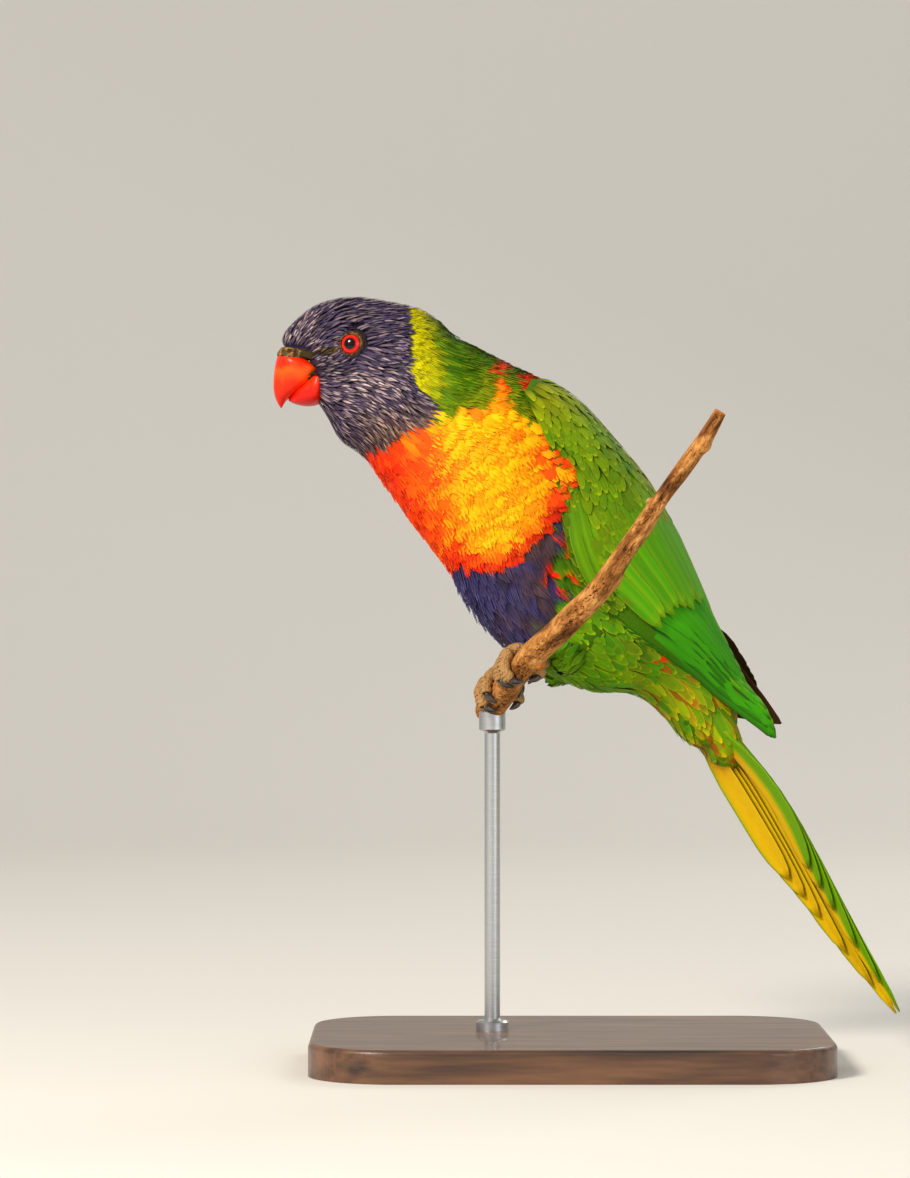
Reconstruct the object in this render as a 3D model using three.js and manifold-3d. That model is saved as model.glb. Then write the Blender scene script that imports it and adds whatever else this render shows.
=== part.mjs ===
// A life-size rainbow lorikeet gripping a short, cut length of twig, held by a plain display stand.
// Millimetres. +Z is up, the bird faces -X and its left side faces -Y.
// The origin is on the floor, under the middle of the stand's base.
import * as THREE from "three";
import { mergeVertices } from "three/addons/utils/BufferGeometryUtils.js";
import Module from "manifold-3d";

const wasm = await Module();
wasm.setup();

// Driving sizes
const touchGap = 0.34; // between nodes that meet
const bodyTop = 233.9; // crown above the floor
const baseLength = 158;
const baseDepth = 112;
const baseHeight = 10;
const baseCorner = 26;
const baseBevel = 1.6;
const rodRadius = 2.4;
const rodCollarRadius = 5;
const rodCollarHeight = 3;
const saddleRadius = 4.1;
const saddleDrop = 7.5; // its foot and its rim under the twig's middle line
const saddleRise = 1.2;
const eyeRadius = 4.3;
const lidOpening = 3.35;
const lidThickness = 0.75;
const nostrilRadius = 1.25;
const boxedPower = 0.5; // of the bill's sides near its cutting edges
const browFade = 3; // sections over which the fuller forehead ends
const browWidth = 0.35; // how much wider the forehead is than an oval

// The bird's trunk and head as one run of oval sections, from the face to the tail's root.
// Each has its front (throat, breast, belly) and its back (crown, nape, mantle, rump) as [x, z],
// its middle's y, its half width and its roll in degrees, which turns the back away from -Y.
const bodySections = [
  { front: [-82.4, 209.5], back: [-82.2, 209.8], y: 0, half: 0.3, roll: 4 },
  { front: [-77.4, 202.4], back: [-86.9, 218.2], y: 0, half: 4.6, roll: 4 },
  { front: [-75.0, 199.2], back: [-88.2, 223.0], y: 0, half: 5.4, roll: 4 },
  { front: [-73.2, 196.1], back: [-85.0, 228.4], y: 0, half: 6.0, roll: 4 },
  { front: [-71.4, 192.5], back: [-78.7, 232.2], y: 0, half: 9.6, roll: 4 },
  { front: [-69.2, 189.7], back: [-70.8, bodyTop], y: 0, half: 13.4, roll: 5 },
  { front: [-66.5, 187.9], back: [-62.5, bodyTop], y: 0, half: 16.0, roll: 6 },
  { front: [-63.4, 185.7], back: [-54.3, 232.7], y: 0, half: 17.1, roll: 7 },
  { front: [-60.4, 182.7], back: [-46.4, 231.0], y: 0, half: 17.7, roll: 8 },
  { front: [-58.0, 179.3], back: [-40.4, 227.4], y: 0, half: 18.8, roll: 10 },
  { front: [-55.5, 176.0], back: [-35.2, 222.4], y: 0, half: 20.4, roll: 12 },
  { front: [-51.2, 169.9], back: [-21.4, 215.2], y: 0, half: 23.4, roll: 15 },
  { front: [-45.8, 162.6], back: [-5.2, 206.9], y: 0, half: 25.4, roll: 16 },
  { front: [-38.1, 152.5], back: [8.2, 192.9], y: 1, half: 25.2, roll: 16 },
  { front: [-32.0, 141.6], back: [19.0, 178.3], y: 2, half: 23.8, roll: 16 },
  { front: [-24.0, 131.2], back: [26.3, 163.6], y: 3, half: 21.6, roll: 17 },
  { front: [-10.2, 120.7], back: [31.6, 149.0], y: 4, half: 18.6, roll: 18 },
  { front: [6.1, 113.8], back: [36.8, 135.6], y: 5, half: 15.2, roll: 20 },
  { front: [18.6, 113.4], back: [41.4, 124.4], y: 6, half: 12.2, roll: 23 },
  { front: [28.4, 106.4], back: [47.8, 116.0], y: 7, half: 9.6, roll: 26 },
  { front: [36.6, 97.2], back: [52.0, 106.8], y: 8, half: 7.6, roll: 28 },
  { front: [48.0, 97.0], back: [48.3, 97.2], y: 9, half: 0.3, roll: 28 },
];

const vec = (x, y, z) => new THREE.Vector3(x, y, z);

// A closed three.js shape as a solid, turned the right way out.
function solidOf(geometry) {
  const plain = geometry.clone();
  plain.deleteAttribute("normal");
  plain.deleteAttribute("uv");
  const merged = mergeVertices(plain, 1e-4);
  const vertProperties = new Float32Array(merged.attributes.position.array);
  const make = (triVerts) => new wasm.Manifold(new wasm.Mesh({ numProp: 3, vertProperties, triVerts }));
  const corners = Uint32Array.from(merged.index.array);
  const made = make(corners);
  if (made.volume() > 0) return made;
  return make(corners.reverse());
}

// A solid's largest closed body.
function largest(solid) {
  const bodies = solid.decompose();
  return bodies.reduce((a, b) => (b.volume() > a.volume() ? b : a));
}

const joined = (...solids) => wasm.Manifold.union(solids);

function mergedBall(around, down) {
  const ball = new THREE.SphereGeometry(1, around, down);
  ball.deleteAttribute("normal");
  ball.deleteAttribute("uv");
  return mergeVertices(ball, 1e-5);
}

// A run of oval sections, with smooth curves through their fronts, backs and widths.
// Boxed makes their sides fuller towards the front (-1) or the back (1).
class SectionRun {
  constructor(sections, boxed = 0, browEnd = 0) {
    this.boxed = boxed;
    this.browEnd = browEnd;
    const curve = (pick) => new THREE.CatmullRomCurve3(sections.map(pick), false, "catmullrom");
    this.front = curve((s) => vec(s.front[0], s.y, s.front[1]));
    this.back = curve((s) => vec(s.back[0], s.y, s.back[1]));
    this.shape = curve((s) => vec(s.half, s.roll, 0));
    this.last = sections.length - 1;
  }

  // The section at a place counted in sections, such as 3.5.
  at(place) {
    const share = Math.min(1, Math.max(0, place / this.last));
    const front = this.front.getPoint(share);
    const back = this.back.getPoint(share);
    const shape = this.shape.getPoint(share);
    const roll = THREE.MathUtils.degToRad(shape.y);
    const across = back.clone().sub(front);
    const halfHeight = across.length() / 2;
    across.normalize();
    return {
      centre: front.add(back).multiplyScalar(0.5),
      up: across.clone().multiplyScalar(Math.cos(roll)).add(vec(0, Math.sin(roll), 0)),
      side: across.clone().multiplyScalar(Math.sin(roll)).add(vec(0, -Math.cos(roll), 0)),
      halfHeight,
      halfWidth: Math.max(shape.x, 0.2),
    };
  }

  // A point of the surface: 0 degrees is the bird's left, 90 its back. The lift is outwards.
  point(place, degrees, lift = 0) {
    const s = this.at(place);
    const a = THREE.MathUtils.degToRad(degrees);
    const turned = Math.cos(a);
    const rise = Math.max(0, Math.sin(a));
    const brow = rise > 0 ? THREE.MathUtils.clamp((this.browEnd - place) / browFade, 0, 1) : 0;
    const fuller = this.boxed * Math.sin(a) > 0 ? 1 : brow;
    const across = Math.sign(turned) * Math.abs(turned) ** (1 - boxedPower * fuller) * (1 + browWidth * brow * rise * rise);
    return s.centre
      .clone()
      .addScaledVector(s.up, (s.halfHeight + lift) * Math.sin(a))
      .addScaledVector(s.side, (s.halfWidth + lift) * across);
  }

  // The closed surface from one place to another, from a sphere whose rings become the sections.
  solid(from, to, lengthSteps, roundSteps, lift = 0) {
    const shape = mergedBall(roundSteps, lengthSteps);
    const p = shape.attributes.position;
    for (let i = 0; i < p.count; i++) {
      const down = Math.acos(THREE.MathUtils.clamp(p.getY(i), -1, 1)) / Math.PI;
      const place = from + (to - from) * down;
      const pole = down < 1e-4 || down > 1 - 1e-4;
      const angle = THREE.MathUtils.radToDeg(Math.atan2(p.getZ(i), p.getX(i)));
      const at = pole ? this.at(place).centre : this.point(place, angle, lift);
      p.setXYZ(i, at.x, at.y, at.z);
    }
    return solidOf(shape);
  }
}

// A round, tapering tube along a curve, with closed ends that are round or cut flat.
function taperedTube(points, radii, lengthSteps, roundSteps, cut = false) {
  const line = new THREE.CatmullRomCurve3(points);
  const radius = new THREE.CatmullRomCurve3(radii.map((r, i) => vec(i, r, 0)));
  const frames = line.computeFrenetFrames(lengthSteps, false);
  const shape = mergedBall(roundSteps, lengthSteps);
  const p = shape.attributes.position;
  for (let i = 0; i < p.count; i++) {
    const down = Math.acos(THREE.MathUtils.clamp(p.getY(i), -1, 1)) / Math.PI;
    const step = Math.round(down * lengthSteps);
    const share = cut ? THREE.MathUtils.clamp((step - 1) / (lengthSteps - 2), 0, 1) : down;
    const at = line.getPointAt(share);
    if (step > 0 && step < lengthSteps) {
      const r = radius.getPoint(share).y;
      const angle = Math.atan2(p.getZ(i), p.getX(i));
      at.addScaledVector(frames.normals[step], r * Math.cos(angle));
      at.addScaledVector(frames.binormals[step], r * Math.sin(angle));
    }
    p.setXYZ(i, at.x, at.y, at.z);
  }
  return solidOf(shape);
}

// A feather as a thin blade with four corners at each station, which has its middle, its sideways and
// outward directions, its half widths against and along the first, and its thickness.
// Both faces are split alike.
function blade(stations) {
  const positions = [];
  const index = [];
  for (const s of stations) {
    for (const [sideways, outward] of [[-s.minus, 1], [s.plus, 1], [s.plus, -1], [-s.minus, -1]]) {
      const at = s.at.clone().addScaledVector(s.side, sideways);
      at.addScaledVector(s.out, (outward * s.thick) / 2);
      positions.push(at.x, at.y, at.z);
    }
  }
  for (let i = 0; i + 4 < stations.length * 4; i += 4) {
    index.push(i, i + 1, i + 5, i, i + 5, i + 4);
    index.push(i + 1, i + 2, i + 6, i + 1, i + 6, i + 5);
    index.push(i + 2, i + 3, i + 6, i + 3, i + 7, i + 6);
    index.push(i + 3, i, i + 4, i + 3, i + 4, i + 7);
  }
  const end = stations.length * 4 - 4;
  index.push(0, 3, 2, 0, 2, 1, end, end + 1, end + 2, end, end + 2, end + 3);
  const geometry = new THREE.BufferGeometry();
  geometry.setAttribute("position", new THREE.Float32BufferAttribute(positions, 3));
  geometry.setIndex(index);
  return solidOf(geometry);
}

// A feather's width along its length, as a share of its full width.
function featherWidth(t, taperFrom) {
  const root = Math.min(1, 0.5 + 1.8 * t);
  const left = Math.max(0, (t - taperFrom) / (1 - taperFrom));
  return root * Math.max(0.14, Math.sqrt(1 - left ** 2));
}

const mix = (a, b, t) => a + (b - a) * t;

const body = new SectionRun(bodySections, 0, 7);

// Where the body is parted, counted in sections.
const headEnd = 7.75;
const neckEnd = 10.1;
const trunkEnd = 16.1;

// Cuts keep a solid on one side of the section plane at a place.
function planeAt(place) {
  const s = body.at(place);
  const normal = s.up.clone().cross(s.side).normalize();
  const ahead = body.at(Math.min(place + 0.5, body.last)).centre.sub(s.centre);
  if (normal.dot(ahead) < 0) normal.negate();
  return { normal, offset: normal.dot(s.centre) };
}
function between(solid, from, to) {
  let cut = solid;
  if (from !== null) {
    const { normal, offset } = planeAt(from);
    cut = cut.trimByPlane(normal.toArray(), offset + touchGap / 2);
  }
  if (to !== null) {
    const { normal, offset } = planeAt(to);
    cut = cut.trimByPlane(normal.clone().negate().toArray(), -offset + touchGap / 2);
  }
  return cut;
}

const bodyRings = 56;
const bodyAround = 32;
const wholeBody = body.solid(0, body.last, bodyRings, bodyAround);
const grownBody = body.solid(0, body.last, bodyRings, bodyAround, touchGap);
const bodyUnderWings = body.solid(0, body.last, bodyRings / 2, bodyAround, touchGap + 0.1);

const group = new THREE.Group();
const paint = {
  hood: ["#3a3566", 0.8],
  collar: ["#9fc414", 0.8],
  breast: ["#ff7a0a", 0.8],
  green: ["#2f8f12", 0.75],
  bill: ["#ff3b0a", 0.35],
  eye: ["#c81808", 0.15],
  skin: ["#6b6258", 0.7],
  claw: ["#2d2a28", 0.4],
  bark: ["#a8743c", 0.9],
  wood: ["#4a3022", 0.5],
  steel: ["#b8bcc0", 0.35],
};
function addNode(name, solid, finish) {
  const mesh = largest(solid).getMesh();
  const geometry = new THREE.BufferGeometry();
  geometry.setAttribute("position", new THREE.BufferAttribute(mesh.vertProperties, 3));
  geometry.setIndex(new THREE.BufferAttribute(mesh.triVerts, 1));
  geometry.computeVertexNormals();
  const [color, roughness] = paint[finish];
  const metalness = finish === "steel" ? 0.9 : 0;
  const made = new THREE.Mesh(geometry, new THREE.MeshStandardMaterial({ color, roughness, metalness }));
  made.name = name;
  group.add(made);
}

// Upper and lower bill, as runs of sections from the face to the tip.
const upperBill = new SectionRun([
  { front: [-75.6, 213.2], back: [-86.6, 218.6], y: 0, half: 4.4, roll: 4 },
  { front: [-76.6, 212.0], back: [-88.1, 216.6], y: 0, half: 7.1, roll: 4 },
  { front: [-79.6, 209.2], back: [-89.9, 212.4], y: 0, half: 6.5, roll: 4 },
  { front: [-82.6, 206.6], back: [-90.5, 208.2], y: 0, half: 5.1, roll: 4 },
  { front: [-85.4, 204.3], back: [-90.2, 204.6], y: 0, half: 3.4, roll: 4 },
  { front: [-87.0, 202.2], back: [-89.3, 202.1], y: 0, half: 1.7, roll: 4 },
  { front: [-88.1, 200.3], back: [-88.3, 200.3], y: 0, half: 0.2, roll: 4 },
], -1);
const lowerBill = new SectionRun([
  { front: [-75.2, 202.6], back: [-75.4, 211.0], y: 0, half: 4.4, roll: 4 },
  { front: [-77.4, 201.4], back: [-76.8, 211.4], y: 0, half: 6.6, roll: 4 },
  { front: [-80.4, 201.0], back: [-79.8, 208.9], y: 0, half: 5.6, roll: 4 },
  { front: [-83.6, 201.7], back: [-82.9, 206.3], y: 0, half: 3.8, roll: 4 },
  { front: [-86.2, 202.6], back: [-86.0, 203.8], y: 0, half: 0.6, roll: 4 },
], 1);

const upperBillSolid = upperBill.solid(0, upperBill.last, 12, 14);
const upperBillGrown = upperBill.solid(0, upperBill.last, 12, 14, touchGap);
const lowerBillSolid = lowerBill.solid(0, lowerBill.last, 8, 12).subtract(upperBillGrown);
const lowerBillGrown = lowerBill.solid(0, lowerBill.last, 8, 12, touchGap);

// The eyes, sunk in the sides of the head.
const eyePlace = { x: -66.6, z: 219.2 };
// The head's slight roll puts the right eye lower and further out.
const leftEye = { surfaceY: 13.7, drop: 0, up: 0.1 };
const rightEye = { surfaceY: 15.1, drop: 1.6, up: -0.04 };
function eyeFrame(left) {
  const outward = left ? -1 : 1;
  const eye = left ? leftEye : rightEye;
  const direction = vec(-0.27, outward, eye.up).normalize();
  const lid = vec(eyePlace.x, outward * eye.surfaceY, eyePlace.z - eye.drop);
  const depth = Math.sqrt(eyeRadius ** 2 - lidOpening ** 2) + 0.4;
  return { direction, lid, centre: lid.clone().addScaledVector(direction, -depth) };
}
function ball(centre, radius, around, down) {
  return solidOf(new THREE.SphereGeometry(radius, around, down).translate(centre.x, centre.y, centre.z));
}
function ring(centre, direction, radius, thickness, around, section) {
  const turn = new THREE.Quaternion().setFromUnitVectors(vec(0, 0, 1), direction);
  const shape = new THREE.TorusGeometry(radius, thickness, section, around).applyQuaternion(turn);
  return solidOf(shape.translate(centre.x, centre.y, centre.z));
}

// The head, with its lids, the bare band over the bill and the nostrils.
const cereRun = new SectionRun([
  { front: [-77.5, 214.5], back: [-84.2, 218.6], y: 0, half: 2.0, roll: 4 },
  { front: [-78.2, 214.2], back: [-87.4, 218.6], y: 0, half: 6.3, roll: 4 },
  { front: [-78.8, 213.2], back: [-88.3, 217.8], y: 0, half: 6.5, roll: 4 },
  { front: [-79.4, 212.8], back: [-87.6, 216.6], y: 0, half: 4.0, roll: 4 },
]);
function headSolid() {
  let head = between(wholeBody, null, headEnd);
  head = joined(head, cereRun.solid(0, cereRun.last, 6, 16));
  const tools = [];
  for (const left of [true, false]) {
    const eye = eyeFrame(left);
    head = joined(head, ring(eye.lid, eye.direction, lidOpening + lidThickness * 0.6, lidThickness, 16, 5));
    tools.push(ball(eye.centre, eyeRadius + touchGap, 16, 8));
    tools.push(ball(cereRun.point(1.7, left ? 38 : 142, 0.6), nostrilRadius, 8, 6));
  }
  return head.subtract(joined(upperBillGrown, lowerBillGrown, ...tools));
}
addNode("head", headSolid(), "hood");
addNode("bill_upper", upperBillSolid, "bill");
addNode("bill_lower", lowerBillSolid, "bill");
addNode("eye_left", ball(eyeFrame(true).centre, eyeRadius, 16, 10), "eye");
addNode("eye_right", ball(eyeFrame(false).centre, eyeRadius, 16, 10), "eye");
addNode("neck", between(wholeBody, headEnd, neckEnd), "collar");

// A folded wing as a sheet between a lower rail (the leading edge), a middle one and an upper one
// (along the back). Places 0 to 1 run from the shoulder to the tip and from the lower rail to the upper.
class Sheet {
  constructor(low, middle, high, outward) {
    this.rails = [low, middle, high].map((rail) => new THREE.CatmullRomCurve3(rail, false, "catmullrom"));
    this.outward = outward;
  }

  flat(along, across) {
    const [low, middle, high] = this.rails.map((rail) => rail.getPoint(THREE.MathUtils.clamp(along, 0, 1)));
    return low
      .multiplyScalar((1 - across) * (1 - 2 * across))
      .addScaledVector(middle, 4 * across * (1 - across))
      .addScaledVector(high, across * (2 * across - 1));
  }

  normal(along, across) {
    const a = Math.min(0.97, Math.max(0.01, along));
    const forward = this.flat(a + 0.01, across).sub(this.flat(a - 0.01, across));
    const sideways = this.flat(a, across + 0.04).sub(this.flat(a, across - 0.04));
    return forward.cross(sideways).normalize().multiplyScalar(this.outward);
  }

  point(along, across, lift = 0) {
    return this.flat(along, across).addScaledVector(this.normal(along, across), lift);
  }

  // A closed pad, thick inwards towards the shoulder. Its outward rise goes down towards the tip.
  pad(riseStart, riseEnd, inner, lengthSteps, roundSteps) {
    const shape = mergedBall(roundSteps, lengthSteps);
    const p = shape.attributes.position;
    for (let i = 0; i < p.count; i++) {
      const down = Math.acos(THREE.MathUtils.clamp(p.getY(i), -1, 1)) / Math.PI;
      const angle = Math.atan2(p.getZ(i), p.getX(i));
      const pole = down < 1e-4 || down > 1 - 1e-4;
      const rise = Math.sin(angle);
      const lift = (rise > 0 ? mix(riseStart, riseEnd, down) : mix(inner, 0.28 * inner, down)) * rise;
      const at = pole ? this.point(down, 0.5) : this.point(down, 0.5 + 0.5 * Math.cos(angle), lift);
      p.setXYZ(i, at.x, at.y, at.z);
    }
    return solidOf(shape);
  }
}

// Rails on the body as [place, degrees], and the free ends of the wings past it as points.
const padLift = 1.5;
const padRise = 0.6; // of the middle rail over the others
const lowRail = [
  [11.6, 38], [12.3, 23], [13.3, 9], [14.25, -6], [15.2, -11],
  [15.9, -6], [16.6, -3], [17.4, 1], [18.4, 7], [19.2, 12],
];
const highRail = [
  [11.7, 62], [12.4, 80], [13.2, 85], [14.1, 86], [15, 86],
  [15.9, 86], [16.7, 84], [17.5, 77], [18.5, 69], [19.3, 64],
];
const middleRail = lowRail.map(([place, degrees], i) => [
  (place + highRail[i][0]) / 2,
  (degrees + highRail[i][1]) / 2,
]);
const onLeft = (rail, lift) => rail.map(([place, degrees]) => body.point(place, degrees, lift));
const onRight = (rail, lift) => rail.map(([place, degrees]) => body.point(place, 180 - degrees, lift));
const asPoints = (rows) => rows.map(([x, y, z]) => vec(x, y, z));

const leftWing = new Sheet(
  [...onLeft(lowRail, padLift), ...asPoints([[57, 0.5, 103.6], [61.3, 3.5, 99.8]])],
  [...onLeft(middleRail, padLift + padRise), ...asPoints([[57.6, 2, 105.3], [61.4, 3.7, 100.3]])],
  [...onLeft(highRail, padLift), ...asPoints([[58, 5, 106.4], [61.5, 4.2, 100.8]])],
  1,
);
// The right wing lies a little off the body towards its tip.
const rightMiddleEnd = [[41, 20.5, 124], [49, 21, 117], [53, 21.5, 113], [58, 21.3, 109.5], [67, 19.5, 104]];
const rightHighEnd = [
  [43.4, 10.6, 138.2], [47.9, 14, 131.2], [54.4, 16, 123],
  [58.6, 17, 117.6], [62, 18, 113], [67.1, 19.8, 104.6],
];
const rightWing = new Sheet(
  [...onRight(lowRail, padLift), ...asPoints([[54, 21.5, 105.6], [66.9, 19.2, 103.6]])],
  [...onRight(middleRail.slice(0, 7), padLift + padRise), ...asPoints(rightMiddleEnd)],
  [...onRight(highRail.slice(0, 6), padLift), ...asPoints(rightHighEnd)],
  -1,
);

// The wing's feathers in tiers: flight feathers of the hand, those of the arm, then two rows of coverts.
// In each tier t runs from the leading edge (0) to the back (1). Roots and tips are places on the sheet,
// and lifts are heights over it at the root, middle and tip.
const wingTiers = [
  {
    count: 5, half: 4.1, steps: 4, tilt: 6,
    root: (t) => [0.47, 0.16 + 0.6 * t],
    tip: (t) => [1 - 0.28 * t, 0.93 - 0.5 * (1 - t) ** 4],
    lifts: (t) => [-1.6, 0.3 + 2.2 * t, 0.5 + 2.3 * t],
  },
  {
    count: 6, half: 4.1, steps: 4, tilt: 11,
    root: (t) => [0.2, 0.18 + 0.72 * t],
    tip: (t) => [0.5 + 0.08 * t, 0.18 + 0.74 * t],
    lifts: (t) => [-1.4, 1.4 + 0.4 * t, 2.3 + 0.9 * t],
  },
  {
    count: 6, half: 4.3, steps: 3, tilt: 9,
    root: (t) => [0.1, 0.16 + 0.74 * t],
    tip: (t) => [0.36 + 0.03 * t, 0.14 + 0.77 * t],
    lifts: () => [-1.4, 1.4, 2.7],
  },
  {
    count: 4, half: 5.2, steps: 3, tilt: 9,
    root: (t) => [0.03, 0.22 + 0.62 * t],
    tip: (t) => [0.22 + 0.02 * t, 0.17 + 0.7 * t],
    lifts: () => [-1.5, 1.0, 2.3],
  },
];
const featherThick = 0.56;
const featherTipThick = 0.42;
const hiddenShare = 0.6; // of a feather's half width under its neighbour

// A run through three values, the middle one at rampEnd.
const rampEnd = 0.45;
function through([a, b, c], t) {
  if (t < rampEnd) return mix(a, b, t / rampEnd);
  return mix(b, c, (t - rampEnd) / (1 - rampEnd));
}

// Sideways and outward directions, turned about the feather by some degrees.
function tilted(side, out, degrees) {
  const a = THREE.MathUtils.degToRad(degrees);
  return {
    side: side.clone().multiplyScalar(Math.cos(a)).addScaledVector(out, -Math.sin(a)),
    out: out.clone().multiplyScalar(Math.cos(a)).addScaledVector(side, Math.sin(a)),
  };
}

function wingFeather(sheet, tier, t, vary) {
  const [rootAlong, rootAcross] = tier.root(t);
  const [tipAlong, tipAcross] = tier.tip(t);
  const lifts = tier.lifts(t);
  const stations = [];
  for (let i = 0; i <= tier.steps; i++) {
    const share = i / tier.steps;
    const along = mix(rootAlong, tipAlong + vary, share);
    const across = mix(rootAcross, tipAcross, share);
    const out = sheet.normal(along, across);
    const ahead = sheet.flat(along + 0.01, across).sub(sheet.flat(along - 0.01, across)).normalize();
    const side = out.clone().cross(ahead).multiplyScalar(-sheet.outward);
    const width = sheet.flat(along, 0).distanceTo(sheet.flat(along, 1));
    const full = tier.half * featherWidth(share, 0.55);
    stations.push({
      at: sheet.point(along, across, through(lifts, share)),
      ...tilted(side, out, tier.tilt),
      minus: Math.min(full, across * width + 0.9),
      plus: Math.min(t < 1 ? full * hiddenShare : full, (1 - across) * width + 0.3),
      thick: i === tier.steps ? featherTipThick : featherThick,
    });
  }
  return blade(stations);
}

// Small repeatable differences between one feather and the next.
function seeded(seed) {
  let state = seed;
  return () => {
    state = (state * 16807) % 2147483647;
    return state / 2147483647;
  };
}
function wingSolid(sheet, seed) {
  const random = seeded(seed);
  const feathers = [];
  for (const tier of wingTiers) {
    for (let i = 0; i < tier.count; i++) {
      feathers.push(wingFeather(sheet, tier, i / (tier.count - 1), 0.008 * (random() - 0.5)));
    }
  }
  return joined(sheet.pad(0.3, -0.3, 6, 18, 12), ...feathers).subtract(bodyUnderWings);
}
addNode("wing_left", wingSolid(leftWing, 11), "green");
addNode("wing_right", wingSolid(rightWing, 29), "green");

// The tail: a core that carries on from the rump, twelve long feathers in graded pairs and its coverts.
const tailSections = [
  { front: [28.4, 106.4], back: [47.8, 116.0], y: 7, half: 9.6, roll: 26 },
  { front: [37.2, 100.6], back: [48.9, 108.5], y: 7.8, half: 9.2, roll: 28 },
  { front: [43.9, 93.0], back: [51.9, 98.4], y: 8.5, half: 7.8, roll: 31 },
  { front: [50.9, 90.5], back: [51.3, 91.0], y: 8.9, half: 0.3, roll: 33 },
];
const tailStart = 19.3;
const tailCore = new SectionRun(tailSections);
const tailRoll = THREE.MathUtils.degToRad(34);
const tailSlope = THREE.MathUtils.degToRad(56); // under the level
// The way the tail's upper side would face without the roll.
const tailBack = vec(Math.sin(tailSlope), 0, Math.cos(tailSlope));
const tailUp = tailBack.clone().multiplyScalar(Math.cos(tailRoll)).add(vec(0, Math.sin(tailRoll), 0));
const tailLeft = tailBack.clone().multiplyScalar(Math.sin(tailRoll)).add(vec(0, -Math.cos(tailRoll), 0));
const tailMiddle = new THREE.CatmullRomCurve3([
  vec(45.2, 8.6, 104.4),
  vec(55.8, 9.7, 90.4),
  vec(65.4, 10.7, 75.6),
  vec(81.3, 12, 46.8),
  vec(88.2, 12.5, 35.1),
  vec(101.3, 13.4, 14.8),
]);
const tailLength = tailMiddle.getLength();
const tailPitch = 0.95; // from one layer of tail feathers to the next
const tailHalfRoof = 5; // degrees
// From the middle pair to the outer one: how far each falls short, where it lies sideways at its root and
// tip and how much further out in between, its half width and where its taper starts.
const tailPairs = [
  { short: 0, root: 1.3, bulge: 2.4, tip: 0.9, half: 4.3, taperFrom: 0.35, steps: 7 },
  { short: 11, root: 1.7, bulge: 3.0, tip: 1.8, half: 4.4, taperFrom: 0.45, steps: 6 },
  { short: 24.3, root: 2.1, bulge: 3.8, tip: 2.8, half: 4.5, taperFrom: 0.55, steps: 6 },
  { short: 37.8, root: 2.5, bulge: 4.2, tip: 3.9, half: 4.6, taperFrom: 0.62, steps: 5 },
  { short: 45.7, root: 2.9, bulge: 4.6, tip: 4.6, half: 4.7, taperFrom: 0.66, steps: 5 },
  { short: 53, root: 3.2, bulge: 5.0, tip: 5.6, half: 4.7, taperFrom: 0.7, steps: 5 },
];
function tailFeather(pair, layer, handed) {
  const roof = tilted(tailLeft.clone().multiplyScalar(handed), tailUp, tailHalfRoof);
  const stations = [];
  for (let i = 0; i <= pair.steps; i++) {
    const t = i / pair.steps;
    const along = t * (1 - pair.short / tailLength);
    const sideways = mix(pair.root, pair.tip, t) + pair.bulge * 4 * t * (1 - t);
    const full = pair.half * featherWidth(t, pair.taperFrom);
    const at = tailMiddle.getPointAt(along).addScaledVector(roof.side, sideways);
    stations.push({
      at: at.addScaledVector(tailUp, -tailPitch * layer),
      ...roof,
      minus: Math.min(full, sideways - 0.25),
      plus: full,
      thick: i === pair.steps ? featherTipThick : featherThick,
    });
  }
  return blade(stations);
}
function tailCovert(degrees, reach) {
  const stations = [0, 0.34, 0.68, 1].map((t) => {
    const place = mix(0.55, reach, t);
    const lift = mix(-1.5, 2.2, t);
    const at = tailCore.point(place, degrees, lift);
    const out = tailCore.point(place, degrees, lift + 1).sub(at).normalize();
    const ahead = tailCore.point(place + 0.1, degrees, lift).sub(at).normalize();
    const side = out.clone().cross(ahead).normalize();
    const half = 4.2 * featherWidth(t, 0.5);
    return { at, side, out, minus: half, plus: half, thick: featherThick };
  });
  return blade(stations);
}
const tailCoverts = [[-118, 2.4], [-62, 2.4], [90, 2.2]]; // degrees and reach
function tailSolid() {
  const feathers = [];
  tailPairs.forEach((pair, layer) => {
    feathers.push(tailFeather(pair, layer, 1), tailFeather(pair, layer, -1));
  });
  for (const [degrees, reach] of tailCoverts) feathers.push(tailCovert(degrees, reach));
  return joined(tailCore.solid(0, tailCore.last, 12, 14), ...feathers);
}
addNode("tail", between(tailSolid(), tailStart, null), "green");
addNode("trunk", between(wholeBody, neckEnd, trunkEnd), "breast");
addNode("rump", between(wholeBody, trunkEnd, tailStart), "green");

// The twig that the feet grip, a cut length with a slight bend.
const farFoot = vec(-20.8, 0, 113.2);
const nearFoot = vec(-15.8, -14, 120.3);
const alongTwig = nearFoot.clone().sub(farFoot).normalize();
const twigFarRadius = 4.1;
const twigNearRadius = 3.75;
const twigTop = vec(43.2, -47.3, 197.4);
const twigTopWay = vec(0.49, -0.16, 0.86).normalize();
const twigPoints = (past) => [
  farFoot.clone().addScaledVector(alongTwig, -13.5 - past),
  farFoot,
  nearFoot,
  vec(-11, -21, 126.4),
  vec(-4.2, -27, 132.6),
  vec(8.4, -35, 145.8),
  vec(26, -41.7, 172),
  vec(37.8, -45.6, 188.3),
  twigTop.clone().addScaledVector(twigTopWay, past),
];
const twigRadii = [4.2, 4.1, 3.8, 3.9, 3.5, 3.0, 2.45, 2.5, 1.9]; // evenly spaced along it
const grown = (radii) => radii.map((radius) => radius + touchGap);
const twigGrown = taperedTube(twigPoints(touchGap), grown(twigRadii), 26, 12, true);
addNode("perch_twig", taperedTube(twigPoints(0), twigRadii, 26, 12, true), "bark");

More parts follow.
